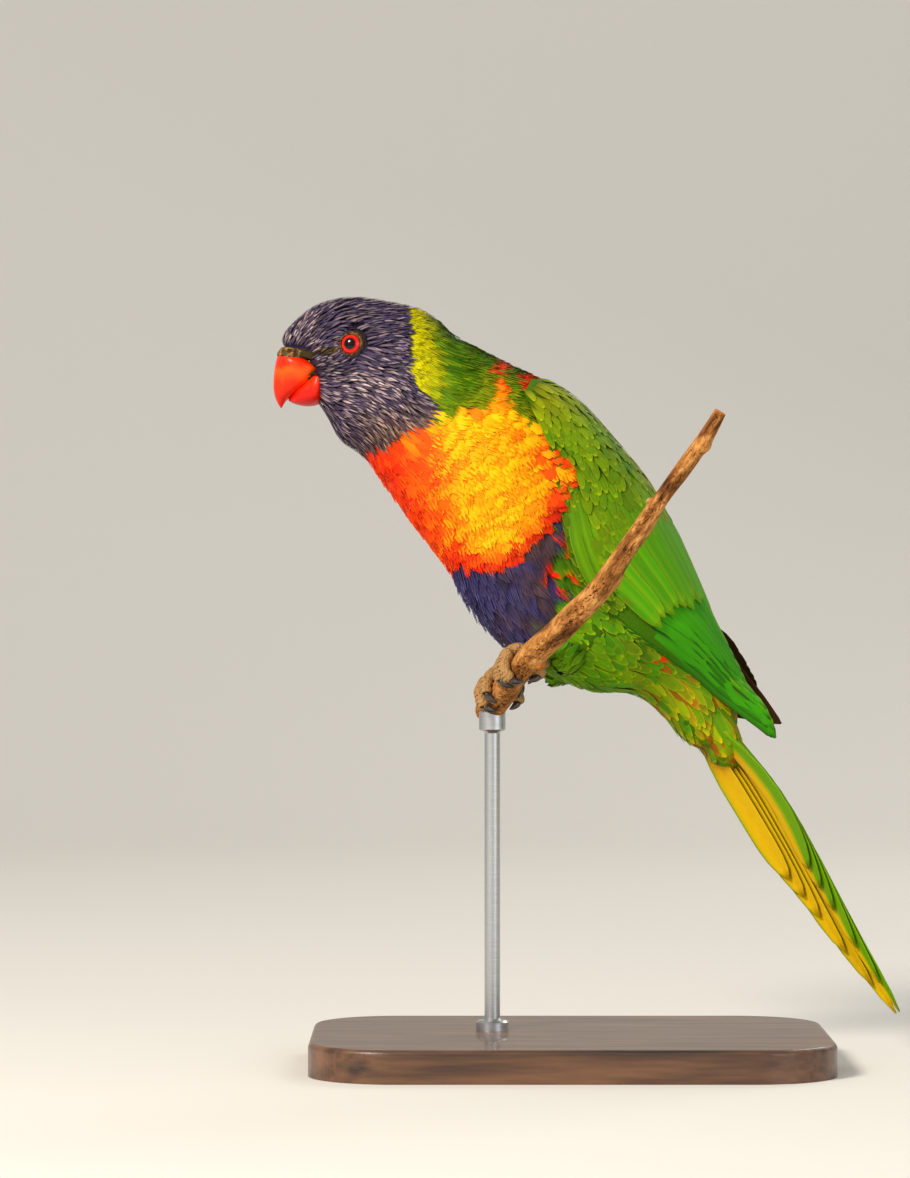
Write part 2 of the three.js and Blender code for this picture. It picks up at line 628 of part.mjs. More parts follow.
// Feet: each grips the twig in its own plane. Angles turn about the twig: 0 is ahead of it,
// 90 above it and 180 behind it.
const gripUp = vec(0, 0, 1).addScaledVector(alongTwig, -alongTwig.z).normalize();
const gripAhead = alongTwig.clone().cross(gripUp).normalize();
function gripPoint(centre, along, degrees, distance) {
  const a = THREE.MathUtils.degToRad(degrees);
  return centre
    .clone()
    .addScaledVector(alongTwig, along)
    .addScaledVector(gripAhead, distance * Math.cos(a))
    .addScaledVector(gripUp, distance * Math.sin(a));
}
function arcPoints(centre, along, angles, distances, count) {
  const points = [];
  for (let i = 0; i < count; i++) {
    const t = i / (count - 1);
    points.push(gripPoint(centre, along, mix(...angles, t), mix(...distances, t)));
  }
  return points;
}
const palmHalf = { ahead: 3.9, along: 4.7, up: 2.4 };
function palmSolid(at, grow) {
  const basis = new THREE.Matrix4().makeBasis(gripAhead, alongTwig, gripUp).setPosition(at);
  const shape = new THREE.SphereGeometry(1, 14, 8);
  shape.scale(palmHalf.ahead + grow, palmHalf.along + grow, palmHalf.up + grow);
  return solidOf(shape.applyMatrix4(basis));
}
// Each toe's place along the twig, its arc and its claw's arc. Outer is the side away from the bird's middle.
const toes = [
  { name: "front_outer", outer: 2.5, from: 52, to: -48, clawTo: -92, radius: 2.0 },
  { name: "front_inner", outer: -2.3, from: 52, to: -24, clawTo: -72, radius: 1.9 },
  { name: "back_outer", outer: 2.5, from: 128, to: 214, clawTo: 254, radius: 2.0 },
  { name: "back_inner", outer: -2.3, from: 128, to: 176, clawTo: 226, radius: 1.8 },
];
const toeTaper = [1, 1, 0.94, 0.97, 0.86];
const toeThinning = 0.3; // its middle line comes this much closer to the twig
const toePlay = 0.08;
const clawRadii = [1.15, 1.2, 1.05, 0.8, 0.4];
const clawOverlap = 6; // degrees of the claw inside the toe
const clawTipDistance = 0.8; // of its middle from the twig
const shankRadii = [2.4, 2.2, 2.5];
const thighRadii = [10, 7.6, 4.4];
const legs = [
  {
    side: "left", foot: nearFoot, radius: twigNearRadius, out: 1, spread: 1,
    thigh: [vec(8, -8, 136), vec(0, -9, 127), vec(-6, -10, 122.8)],
  },
  {
    side: "right", foot: farFoot, radius: twigFarRadius, out: -1, spread: 0.9,
    thigh: [vec(8, 12, 132), vec(0, 11, 124), vec(-8, 8.5, 119)],
  },
];
for (const leg of legs) {
  const heel = leg.thigh[2];
  const palmAt = gripPoint(leg.foot, 0, 90, leg.radius + touchGap + palmHalf.up);
  const shankPath = [palmAt, palmAt.clone().lerp(heel, 0.5), heel];
  const thighGrown = taperedTube(leg.thigh, grown(thighRadii), 10, 14);
  const foot = joined(palmSolid(palmAt, 0), taperedTube(shankPath, shankRadii, 6, 9));
  const footGrown = joined(palmSolid(palmAt, touchGap), taperedTube(shankPath, grown(shankRadii), 6, 9));
  addNode("leg_" + leg.side, taperedTube(leg.thigh, thighRadii, 10, 14).subtract(grownBody), "green");
  addNode("foot_" + leg.side, foot.subtract(joined(thighGrown, grownBody, twigGrown)), "skin");
  for (const toe of toes) {
    const along = toe.outer * leg.out;
    const turn = (degrees) => 90 + (degrees - 90) * leg.spread;
    const distance = leg.radius + touchGap + toe.radius + toePlay;
    const toeEnd = distance - toeThinning;
    const toeArc = [turn(toe.from), turn(toe.to)];
    const toePath = arcPoints(leg.foot, along, toeArc, [distance, toeEnd], 9);
    const clawArc = [turn(toe.to + (toe.to > 90 ? -clawOverlap : clawOverlap)), turn(toe.clawTo)];
    const clawPath = arcPoints(leg.foot, along, clawArc, [toeEnd + 0.1, leg.radius + clawTipDistance], 6);
    const clawGrown = taperedTube(clawPath, grown(clawRadii), 5, 8);
    const toeSolid = taperedTube(toePath, toeTaper.map((share) => share * toe.radius), 8, 8);
    const place = toe.name + "_" + leg.side;
    addNode("toe_" + place, toeSolid.subtract(joined(footGrown, clawGrown, twigGrown, thighGrown)), "skin");
    addNode("claw_" + place, taperedTube(clawPath, clawRadii, 5, 7).subtract(twigGrown), "claw");
  }
}

// The stand: a flat base with eased edges and one short rod with a saddle under the perch.
function plateOutline(inset, count) {
  const x = baseLength / 2 - baseCorner;
  const y = baseDepth / 2 - baseCorner;
  const r = baseCorner - inset;
  const points = [];
  for (const [sx, sy, start] of [[1, 1, 0], [-1, 1, 90], [-1, -1, 180], [1, -1, 270]]) {
    for (let i = 0; i <= count; i++) {
      const a = THREE.MathUtils.degToRad(start + (90 * i) / count);
      points.push([sx * x + r * Math.cos(a), sy * y + r * Math.sin(a)]);
    }
  }
  return points;
}
// Outlines as [inset, height], one on the other.
function stackedPlate(levels, count) {
  const positions = [];
  const index = [];
  const ringSize = 4 * (count + 1);
  for (const [inset, z] of levels) {
    for (const [x, y] of plateOutline(inset, count)) positions.push(x, y, z);
  }
  const top = (levels.length - 1) * ringSize;
  const bottomMiddle = levels.length * ringSize;
  positions.push(0, 0, levels[0][1], 0, 0, levels[levels.length - 1][1]);
  for (let i = 0; i < ringSize; i++) {
    const next = (i + 1) % ringSize;
    for (let a = 0; a < top; a += ringSize) {
      index.push(a + i, a + next, a + i + ringSize, a + next, a + next + ringSize, a + i + ringSize);
    }
    index.push(bottomMiddle, next, i, bottomMiddle + 1, top + i, top + next);
  }
  const geometry = new THREE.BufferGeometry();
  geometry.setAttribute("position", new THREE.Float32BufferAttribute(positions, 3));
  geometry.setIndex(index);
  return solidOf(geometry);
}
const baseLevels = [[0.7, 0], [0, 0.7], [0, baseHeight - baseBevel], [baseBevel, baseHeight]];
addNode("stand_base", stackedPlate(baseLevels, 6), "wood");

const rodAt = gripPoint(farFoot, -9.4, 0, 0);
function upright(radius, from, to, around) {
  const shape = new THREE.CylinderGeometry(radius, radius, to - from, around).rotateX(Math.PI / 2);
  return solidOf(shape.translate(rodAt.x, rodAt.y, (from + to) / 2));
}
const rodFoot = baseHeight + touchGap;
const rod = joined(
  upright(rodRadius, rodFoot, rodAt.z - saddleDrop + 1, 16),
  upright(rodCollarRadius, rodFoot, baseHeight + rodCollarHeight, 20),
  upright(saddleRadius, rodAt.z - saddleDrop, rodAt.z - saddleRise, 18),
);
addNode("stand_rod", rod.subtract(twigGrown), "steel");

export default group;
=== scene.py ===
import math

import bmesh
import bpy
import numpy as np
from mathutils import Matrix, Vector, kdtree, noise


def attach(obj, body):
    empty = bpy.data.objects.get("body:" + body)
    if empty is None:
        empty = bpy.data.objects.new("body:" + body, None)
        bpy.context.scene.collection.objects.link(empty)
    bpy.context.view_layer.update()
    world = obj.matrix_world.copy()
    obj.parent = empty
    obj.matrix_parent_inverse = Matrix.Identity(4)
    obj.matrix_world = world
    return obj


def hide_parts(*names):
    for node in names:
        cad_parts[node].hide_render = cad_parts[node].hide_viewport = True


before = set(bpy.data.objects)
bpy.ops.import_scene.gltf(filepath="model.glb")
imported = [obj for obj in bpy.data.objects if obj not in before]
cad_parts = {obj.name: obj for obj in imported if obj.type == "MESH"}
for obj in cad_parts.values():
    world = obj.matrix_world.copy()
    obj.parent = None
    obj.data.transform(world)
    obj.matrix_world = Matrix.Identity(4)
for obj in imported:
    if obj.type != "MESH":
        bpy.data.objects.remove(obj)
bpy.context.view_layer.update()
mm = 0.001
bothSides = ((True, "Left"), (False, "Right"))
print("frame loaded")


# Small tools for numbers and colours.

def srgb(r, g, b):
    c = np.array([r, g, b], float) / 255
    return np.where(c <= 0.04045, c / 12.92, ((c + 0.055) / 1.055) ** 2.4)


def unit(v):
    return v / np.maximum(np.linalg.norm(v, axis=-1, keepdims=True), 1e-12)


def ramp(low, high, x):
    t = np.clip((x - low) / (high - low), 0, 1)
    return t * t * (3 - 2 * t)


def hill(x, width, power=2):
    return np.exp(-((x / width) ** power))


def blend(a, b, t):
    return a + (b - a) * t


def mixed(a, b, t):
    return blend(a, b, np.asarray(t)[..., None])


# A smooth curve through rows of numbers, at shares 0 to 1 of it.
def curveAt(rows, share):
    rows = np.asarray(rows, float)
    padded = np.vstack([2 * rows[0] - rows[1], rows, 2 * rows[-1] - rows[-2]])
    x = np.clip(np.asarray(share, float), 0, 1) * (len(rows) - 1)
    i = np.minimum(x.astype(int), len(rows) - 2)
    t = (x - i)[..., None]
    a, b, c, d = padded[i], padded[i + 1], padded[i + 2], padded[i + 3]
    m, n = (c - a) / 2, (d - b) / 2
    return b + t * m + t**2 * (3 * (c - b) - 2 * m - n) + t**3 * (2 * (b - c) + m + n)


def curveOf(values, share):
    return curveAt([[value] for value in values], share)[..., 0]


# How far along a line each of its points lies.
def runAlong(line, power=1):
    return np.concatenate([[0], np.cumsum(np.linalg.norm(np.diff(line, axis=0), axis=1) ** power)])


def lookUp(x, known, points):
    return np.stack([np.interp(x, known, column) for column in points.T], -1)


# Steps from a middle to its ring, turned from one direction towards another.
def ringed(first, second, degrees, radius):
    a = np.radians(degrees)[..., None]
    return (first * np.cos(a) + second * np.sin(a)) * np.asarray(radius, float)[..., None]


# Repeatable soft noise in space from a few crossed waves, about -1 to 1.
def waves(points, size, seed):
    random = np.random.default_rng(seed)
    total = 0
    for _ in range(7):
        direction = unit(random.normal(size=points.shape[-1]))
        turn = 2 * np.pi / size * random.uniform(0.7, 1.5)
        total = total + np.sin(points @ direction * turn + random.uniform(0, 6.28))
    return total / 3


# The view of the photograph, in millimetres, and the studio round it.
studio = {
    "frameMiddle": (-35.1, 145.2), "frameHeight": 359.3, "distance": 1400.0, "sensor": 24.0,
    "floor": srgb(226, 222, 214), "sky": 0.5, "target": (-0.02, 0, 0.14),
    "lights": {
        "keyLight": ((-0.9, -1.1, 1.05), 0.45, 32.0, (1.0, 0.93, 0.82)),
        "fillLight": ((1.2, -1.3, 0.5), 1.2, 6.0, (0.9, 0.95, 1.0)),
        "rimLight": ((0.7, 1.1, 1.0), 0.7, 5.0, (1.0, 0.98, 0.95)),
    },
}

# The bird's form, in millimetres. Each row has a section's front x and z, back x and z, middle y,
# half width and roll in degrees, from the face to the tail's root.
bodyRows = [
    (-82.4, 209.5, -82.2, 209.8, 0, 0.3, 4), (-77.4, 202.4, -86.9, 218.2, 0, 4.6, 4),
    (-75.0, 199.2, -87.5, 222.2, 0, 5.4, 4), (-73.2, 196.1, -83.8, 226.9, 0, 6.0, 4),
    (-71.4, 192.5, -77.9, 231.2, 0, 9.6, 4), (-69.2, 189.7, -70.6, 233.5, 0, 13.4, 5),
    (-66.5, 187.9, -62.5, 233.9, 0, 16.0, 6), (-63.4, 185.7, -54.3, 232.7, 0, 17.1, 7),
    (-60.4, 182.7, -46.4, 231.0, 0, 17.7, 8), (-58.0, 179.3, -40.4, 227.4, 0, 18.8, 10),
    (-55.5, 176.0, -35.2, 222.4, 0, 20.4, 12), (-51.2, 169.9, -21.4, 215.2, 0, 23.4, 15),
    (-45.8, 162.6, -5.2, 206.9, 0, 25.4, 16), (-38.1, 152.5, 8.2, 192.9, 1, 25.2, 16),
    (-32.0, 141.6, 19.0, 178.3, 2, 23.8, 16), (-24.0, 131.2, 26.3, 163.6, 3, 21.6, 17),
    (-10.2, 120.7, 31.6, 149.0, 4, 18.6, 18), (6.1, 113.8, 36.8, 135.6, 5, 15.2, 20),
    (18.6, 113.4, 41.4, 124.4, 6, 12.2, 23), (28.4, 106.4, 47.8, 116.0, 7, 9.6, 26),
    (36.6, 97.2, 52.0, 106.8, 8, 7.6, 28), (48.0, 97.0, 48.3, 97.2, 9, 0.3, 28),
]


# A point on a run of oval sections: 0 degrees is the bird's left, 90 its back and -90 its belly. Boxed
# makes the sides fuller towards the front (-1) or the back (1), and brow does so for a forehead.
def runPoint(rows, place, degrees, lift=0.0, boxed=0, brow=0.0):
    place, degrees, lift = np.broadcast_arrays(np.asarray(place, float), degrees, lift)
    s = curveAt(rows, place / (len(rows) - 1))
    front, back = s[..., [0, 4, 1]], s[..., [2, 4, 3]]
    roll = np.radians(s[..., 6])[..., None]
    sideways = np.array([0.0, 1.0, 0.0])
    halfHeight = np.linalg.norm(back - front, axis=-1) / 2
    across = unit(back - front)
    up = across * np.cos(roll) + sideways * np.sin(roll)
    side = across * np.sin(roll) - sideways * np.cos(roll)
    a = np.radians(degrees)
    turned = np.cos(a)
    rise = np.maximum(0, np.sin(a))
    fuller = np.where(boxed * np.sin(a) > 0, 1.0, brow * (rise > 0))
    turned = np.sign(turned) * np.abs(turned) ** (1 - 0.5 * fuller) * (1 + 0.35 * brow * rise**2)
    out = up * ((halfHeight + lift) * np.sin(a))[..., None]
    out = out + side * ((np.maximum(s[..., 5], 0.2) + lift) * turned)[..., None]
    return (front + back) / 2 + out


def bodyPoint(place, degrees, lift=0.0):
    return runPoint(bodyRows, place, degrees, lift, brow=ramp(7, 4, np.asarray(place, float)))


# A folded wing is a sheet between a low rail (its leading edge), a middle and a high one (along the back).
# Its rails are places and degrees on the body, and then points past it.
wing = {
    "lift": 1.1, "rise": 0.6,
    "backRise": [(11.7, 0), (12.4, 0.6), (13.2, 1.8), (14.1, 3.5), (15, 4.7), (15.9, 5.5), (16.7, 5.3),
                 (17.5, 4.8), (18.5, 4.4), (19.3, 4.0)],
    "low": [(11.6, 38), (12.3, 23), (13.3, 9), (14.25, -6), (15.2, -11),
            (15.9, -6), (16.6, -3), (17.4, 1), (18.4, 7), (19.2, 12)],
    "high": [(11.7, 62), (12.4, 80), (13.2, 85), (14.1, 86), (15, 86),
             (15.9, 86), (16.7, 84), (17.5, 77), (18.5, 69), (19.3, 64)],
    "leftEnds": [[(57, 0.5, 103.6), (62.3, 3.5, 99.0)], [(59, 2, 106.3), (62.8, 3.7, 99.8)],
                 [(60.6, 5, 108.6), (63.4, 4.4, 100.6)]],
    "rightEnds": [[(54, 21.5, 105.6), (65.9, 19.2, 103.2)],
                  [(41, 20.5, 124), (48.4, 21, 116.6), (52.2, 21.5, 112.4), (57, 21.3, 108.9),
                   (66, 19.5, 103.6)],
                  [(43.2, 10.6, 138.0), (46.9, 14, 130.4), (52.8, 16, 121.9),
                   (57, 17, 116.4), (60.6, 18, 111.9), (66.1, 19.8, 104.0)]],
}
lowRail, highRail, backRise = (np.array(wing[key], float) for key in ("low", "high", "backRise"))


def wingRails(left):
    made = []
    lifts = (wing["lift"], wing["lift"] + wing["rise"], wing["lift"])
    ends = wing["leftEnds" if left else "rightEnds"]
    lines = (lowRail, (lowRail + highRail) / 2, highRail)
    for rail, lift, share, end in zip(lines, lifts, (0.0, 0.4, 1.0), ends):
        kept = rail[: 12 - len(end)]
        degrees = kept[:, 1] if left else 180 - kept[:, 1]
        lift = lift + share * np.interp(kept[:, 0], *backRise.T)
        made.append(np.vstack([bodyPoint(kept[:, 0], degrees, lift), end]))
    return made


rails = {left: wingRails(left) for left, _ in bothSides}


def sheetPoint(left, along, across):
    low, middle, high = (curveAt(rail, along) for rail in rails[left])
    c = np.asarray(across, float)[..., None]
    return low * (1 - c) * (1 - 2 * c) + middle * 4 * c * (1 - c) + high * c * (2 * c - 1)


def wingPoint(left, along, across, lift=0.0):
    along, across, lift = np.broadcast_arrays(np.asarray(along, float), across, lift)
    a = np.clip(along, 0.01, 0.97)
    forward = sheetPoint(left, a + 0.01, across) - sheetPoint(left, a - 0.01, across)
    sideways = sheetPoint(left, a, across + 0.04) - sheetPoint(left, a, across - 0.04)
    normal = unit(np.cross(forward, sideways)) * (1 if left else -1)
    return sheetPoint(left, along, across) + normal * lift[..., None]


# The tail's middle line, and its upward and leftward directions. Its twelve long feathers lie in graded
# pairs, the middle pair on top: how much shorter than the tail, how far from its middle at root, widest
# and tip, half width and where the tip begins.
tail = {
    "line": [(45.2, 8.6, 104.4), (55.8, 9.7, 90.4), (65.4, 10.7, 75.6), (81.3, 12, 46.8), (88.2, 12.5, 35.1),
             (101.3, 13.4, 14.8)],
    "roll": 34, "slope": 56, "pitch": 0.95, "roof": 5, "rightBulge": 0.55, "rightDrop": 0.16, "seed": 91,
    "pairs": [
        (0, 1.3, 2.4, 0.9, 4.3, 0.35), (11, 1.7, 3.0, 1.8, 4.4, 0.45), (24.3, 2.1, 3.8, 2.8, 4.5, 0.55),
        (37.8, 2.5, 4.2, 3.9, 4.6, 0.62), (45.7, 2.9, 4.6, 4.6, 4.7, 0.66), (53, 3.2, 5.0, 5.6, 4.7, 0.7),
    ],
}
slope, tailRoll = math.radians(tail["slope"]), math.radians(tail["roll"])
tailBack = np.array([math.sin(slope), 0, math.cos(slope)])
tailUp = tailBack * math.cos(tailRoll) + np.array([0, math.sin(tailRoll), 0])
tailLeft = tailBack * math.sin(tailRoll) - np.array([0, math.cos(tailRoll), 0])
tailLine = curveAt(tail["line"], np.linspace(0, 1, 400))
tailRun = runAlong(tailLine)


# Feathers. A form holds a feather's corners: s runs from root to tip, w across from -1 to 1, h is the
# share of the full width there and lift a rise as a share of the half width.
def bladeForm(rows, columns, shape, closed=False):
    k, m = len(rows), len(columns)
    row = np.repeat(np.arange(k), m)
    w = np.tile(np.asarray(columns, float), k)
    form = {"s": np.asarray(rows, float)[row], "w": w, "h": np.asarray(shape, float)[row], "row": row}
    form["under"], form["lift"] = np.zeros(k * m), np.zeros(k * m)
    i, j = np.meshgrid(np.arange(k - 1), np.arange(m - 1), indexing="ij")
    a = (i * m + j).ravel()
    quads = np.stack([a, a + 1, a + m + 1, a + m], 1)
    if closed:
        rim = np.concatenate([
            np.arange(m - 1), np.arange(k - 1) * m + m - 1, k * m - 1 - np.arange(m - 1),
            (k - 1 - np.arange(k - 1)) * m,
        ])
        ahead = np.roll(rim, -1)
        walls = np.stack([ahead, rim, rim + k * m, ahead + k * m], 1)
        quads = np.vstack([quads, quads[:, ::-1] + k * m, walls])
        form = {key: np.concatenate([v, v]) for key, v in form.items()}
        form["under"][k * m:] = 1
    form["quads"] = quads
    return form


# A loose feather of strands that part towards their tips.
def looseForm(strands, rows, shape, partFrom, seed):
    random = np.random.default_rng(seed)
    edges = np.linspace(-1, 1, strands + 1)
    rows, shape = np.asarray(rows, float), np.asarray(shape, float)
    count = len(rows)
    parted = np.clip((rows - partFrom) / (1 - partFrom), 0, 1)
    columns, quads = [], []
    for i in range(strands):
        middle, half = (edges[i] + edges[i + 1]) / 2, (edges[i + 1] - edges[i]) / 2
        reach = 1 - 0.3 * abs(middle) ** 2.2 + random.uniform(-0.05, 0.05)
        lean = random.uniform(-0.6, 0.6) * half
        for side in (-1, 1):
            w = middle + lean * parted + side * half * (1.12 - 1.0 * parted**1.3)
            lift = (0.11 if i % 2 else -0.05) * np.sqrt(parted) + 0.04 * side * parted
            columns.append((rows * (1 - parted) + rows * reach * parted, w, shape, lift))
        a = 2 * i * count + np.arange(count - 1)
        quads.append(np.stack([a, a + count, a + count + 1, a + 1], 1))
    form = {key: np.concatenate(values) for key, values in zip(("s", "w", "h", "lift"), zip(*columns))}
    return dict(form, under=np.zeros(len(form["s"])), quads=np.vstack(quads))


# Feathers laid over stations, which are their places, sideways and outward directions in millimetres:
# three of them (root, middle and tip) or one for each row of the form. The arrays of one or more such
# calls make a piece.
def layFeathers(at, side, out, half, form, colours, bakePlace, bakeSize=0.003, arch=0.12, thick=0.3):
    count, corners = len(at), len(form["s"])
    s = form["s"]
    if at.shape[1] == 3:
        share = np.stack([(1 - s) * (1 - 2 * s), 4 * s * (1 - s), s * (2 * s - 1)], 1)
    else:
        share = np.eye(at.shape[1])[form["row"]]
    points, sides, outs = (np.einsum("vk,nkc->nvc", share, part) for part in (at, side, out))
    across = form["w"] * form["h"]
    half = np.asarray(half, float)
    if half.ndim == 1:
        half = np.stack([half, half], 1)
    width = np.where(form["w"] < 0, half[:, :1], half[:, 1:])
    points = points + unit(sides) * (width * across)[..., None]
    bow = arch * width * (form["h"] - np.abs(across) ** 1.6) + form["lift"] * half.mean(1)[:, None]
    points = points + unit(outs) * (bow - thick * form["under"])[..., None]
    quads = (form["quads"][None] + (np.arange(count) * corners)[:, None, None]).reshape(-1, 4)
    patch = np.stack([across * 0.5, s - 0.5], 1)[None] * bakeSize
    bake = (bakePlace[:, None, :] + patch).reshape(-1, 2)
    vane = np.tile(np.stack([form["w"] * 0.5 + 0.5, s], 1), (count, 1))
    return points.reshape(-1, 3), quads, bake, vane, colours.reshape(-1, 3)


def linked(name, data):
    piece = bpy.data.objects.new(name, data)
    bpy.context.scene.collection.objects.link(piece)
    return piece


def paintPoints(mesh, colours):
    layer = mesh.color_attributes.new(name="plumage", type="FLOAT_COLOR", domain="POINT")
    full = np.ones((len(mesh.vertices), 4), np.float32)
    full[:, :3] = colours
    layer.data.foreach_set("color", full.ravel())


def featherPiece(name, batches):
    starts = np.cumsum([0] + [len(b[0]) for b in batches[:-1]])
    quads = np.concatenate([b[1] + start for b, start in zip(batches, starts)])
    points, bake, vane, colours = (np.concatenate([b[k] for b in batches]) for k in (0, 2, 3, 4))
    print("feathers", name, "triangles", len(quads) * 2)
    mesh = bpy.data.meshes.new(name)
    mesh.vertices.add(len(points))
    mesh.vertices.foreach_set("co", (points * mm).astype(np.float32).ravel())
    mesh.loops.add(quads.size)
    mesh.loops.foreach_set("vertex_index", quads.astype(np.int32).ravel())
    mesh.polygons.add(len(quads))
    mesh.polygons.foreach_set("loop_start", np.arange(len(quads), dtype=np.int32) * 4)
    mesh.polygons.foreach_set("use_smooth", np.ones(len(quads), bool))
    mesh.update(calc_edges=True)
    for key, values in (("OFBake", bake), ("vane", vane)):
        layer = mesh.uv_layers.new(name=key)
        layer.data.foreach_set("uv", values[quads.ravel()].astype(np.float32).ravel())
    paintPoints(mesh, colours)
    return linked(name, mesh)


# Stations of feathers that start at places on a surface and lie along a direction in it.
def layOn(surface, u, v, steps, turn, length, lifts):
    def frames(uu, vv):
        along = surface(uu + steps[0], vv) - surface(uu - steps[0], vv)
        across = surface(uu, vv + steps[1]) - surface(uu, vv - steps[1])
        return along / (2 * steps[0]), across / (2 * steps[1])

    along, across = frames(u, v)
    ahead = unit(along)
    beside = np.cross(unit(np.cross(along, across)), ahead)
    way = (ahead * np.cos(turn)[:, None] + beside * np.sin(turn)[:, None]) * length[:, None]
    # the way's amounts of the two surface numbers
    aa, ab, bb = (along**2).sum(1), (along * across).sum(1), (across**2).sum(1)
    wa, wb = (way * along).sum(1), (way * across).sum(1)
    det = np.maximum(aa * bb - ab**2, 1e-9)
    du, dv = (wa * bb - wb * ab) / det, (wb * aa - wa * ab) / det
    stations = []
    for share, lift in zip((0, 0.5, 1), lifts):
        uu, vv = u + du * share, v + dv * share
        along, across = frames(uu, vv)
        n = unit(np.cross(along, across))
        n = n * np.sign((n * (surface(uu, vv, 1.0) - surface(uu, vv))).sum(1))[:, None]
        forward = unit(along * du[:, None] + across * dv[:, None])
        stations.append((surface(uu, vv, lift), unit(np.cross(forward, n)), n))
    return [np.stack(part, 1) for part in zip(*stations)]


# Evenly spread places on a surface, no two nearer than the spacing there.
def scatter(surface, uSpan, vSpan, spacing, seed, cells=(260, 180), tries=3.2):
    random = np.random.default_rng(seed)
    u = np.linspace(*uSpan, cells[0] + 1)
    v = np.linspace(*vSpan, cells[1] + 1)
    uu, vv = np.meshgrid((u[1:] + u[:-1]) / 2, (v[1:] + v[:-1]) / 2, indexing="ij")
    uu, vv = uu.ravel(), vv.ravel()
    du, dv = (u[1] - u[0]) / 2, (v[1] - v[0]) / 2
    a = surface(uu + du, vv) - surface(uu - du, vv)
    b = surface(uu, vv + dv) - surface(uu, vv - dv)
    gap = spacing(uu, vv)
    weight = np.where(gap > 0, np.linalg.norm(np.cross(a, b), axis=1) / np.maximum(gap, 0.1) ** 2, 0)
    count = int(weight.sum() * tries)
    pick = random.choice(len(uu), count, p=weight / weight.sum())
    pu = uu[pick] + random.uniform(-du, du, count)
    pv = vv[pick] + random.uniform(-dv, dv, count)
    at, gaps, cell = surface(pu, pv), spacing(pu, pv), 1.6
    reach = int(math.ceil(gaps.max() / cell))
    span = range(-reach, reach + 1)
    near = [(x, y, z) for x in span for y in span for z in span]
    taken, kept = {}, []
    rows = zip(at.tolist(), np.floor(at / cell).astype(int).tolist(), gaps.tolist())
    for i, ((x, y, z), (kx, ky, kz), g) in enumerate(rows):
        if g > 0 and not any(
            (qx - x) ** 2 + (qy - y) ** 2 + (qz - z) ** 2 < g * g
            for ox, oy, oz in near for qx, qy, qz in taken.get((kx + ox, ky + oy, kz + oz), ())
        ):
            taken.setdefault((kx, ky, kz), []).append((x, y, z))
            kept.append(i)
    return pu[kept], pv[kept]


# Markings, laid out in millimetres as the photograph's camera sees them, and the same on both sides.
# Flecks are round: x, z and radius.
marks = {
    "hood": [(-49.4, 240), (-48.5, 224.2), (-48.2, 215.9), (-46.7, 206.5), (-42.4, 203.1), (-40.3, 198.6),
             (-47.9, 194.0), (-51.9, 190.9), (-59.5, 187.0), (-66.5, 185.4), (-76, 180), (-110, 180),
             (-110, 245)],
    "collar": [(-49.4, 240), (-43.9, 236), (-40.9, 223.9), (-39.3, 215.9), (-39.6, 207.4), (-41.2, 201.9),
               (-43.0, 203.7), (-46.7, 206.5), (-48.2, 215.9), (-48.8, 224.2)],
    "breast": [(-72, 176), (-76, 184), (-66, 186.3), (-58.6, 187), (-51.9, 190), (-48.2, 194.3),
               (-43.3, 195.5), (-41.5, 197.8), (-38.4, 198.2), (-31.1, 199.8), (-25.2, 200.4),
               (-23.2, 205.3), (-22.0, 210.5), (-20.6, 208), (-20.2, 200.6), (-15.2, 197.9),
               (-12.2, 194.3), (-5.5, 191.2), (-9.8, 190.0), (-5.5, 185.7), (-2.4, 182.7), (-0.6, 179.6),
               (-2.4, 174.8), (-3.0, 169.9), (-5.5, 165.6), (-9.8, 162.0), (-13.4, 157.1), (-17.7, 154.0),
               (-25.0, 151.0), (-31.1, 151.6), (-37.8, 152.8), (-46, 148), (-56, 156), (-66, 168)],
    "belly": [(-38.5, 157), (-46, 148), (-42, 137), (-36, 128), (-28, 121), (-16, 119), (-12.2, 129.6),
              (-9.2, 136.3), (-3.0, 140.6), (0.0, 143.0), (-3.0, 145.5), (-7.3, 147.3), (-8.5, 150.4),
              (-5.5, 157.7), (-3.0, 165.0), (-5.5, 168.8), (-21.3, 160.1)],
    "cere": [(-91, 219.6), (-85, 219.4), (-80.4, 218.5), (-79.4, 217.6), (-79.6, 215.4), (-81, 214.4),
             (-91, 214.4)],
    "lores": [(-81, 218.4), (-75, 218.6), (-70.5, 220.0), (-69.8, 217.6), (-75, 216.4), (-81, 216.0)],
    "bill": [(-92, 216), (-80.6, 215.2), (-78.2, 212.9), (-77.2, 209.5), (-76.6, 205), (-76.3, 200.8),
             (-80, 199), (-92, 199)],
    "flecks": [(-2.4, 160.7, 3.2), (0.0, 157.0, 2.2), (-6.7, 151.4, 2.4), (-5.5, 147.6, 2.0),
               (2.4, 150.4, 2.8), (-21.3, 213.4, 2.2), (-12.2, 210.5, 2.6), (-14.0, 208.0, 1.8),
               (-22.0, 207.7, 1.6), (-7.0, 191.8, 2.6), (26.8, 122.3, 1.3), (24.6, 124.5, 1.1)],
}
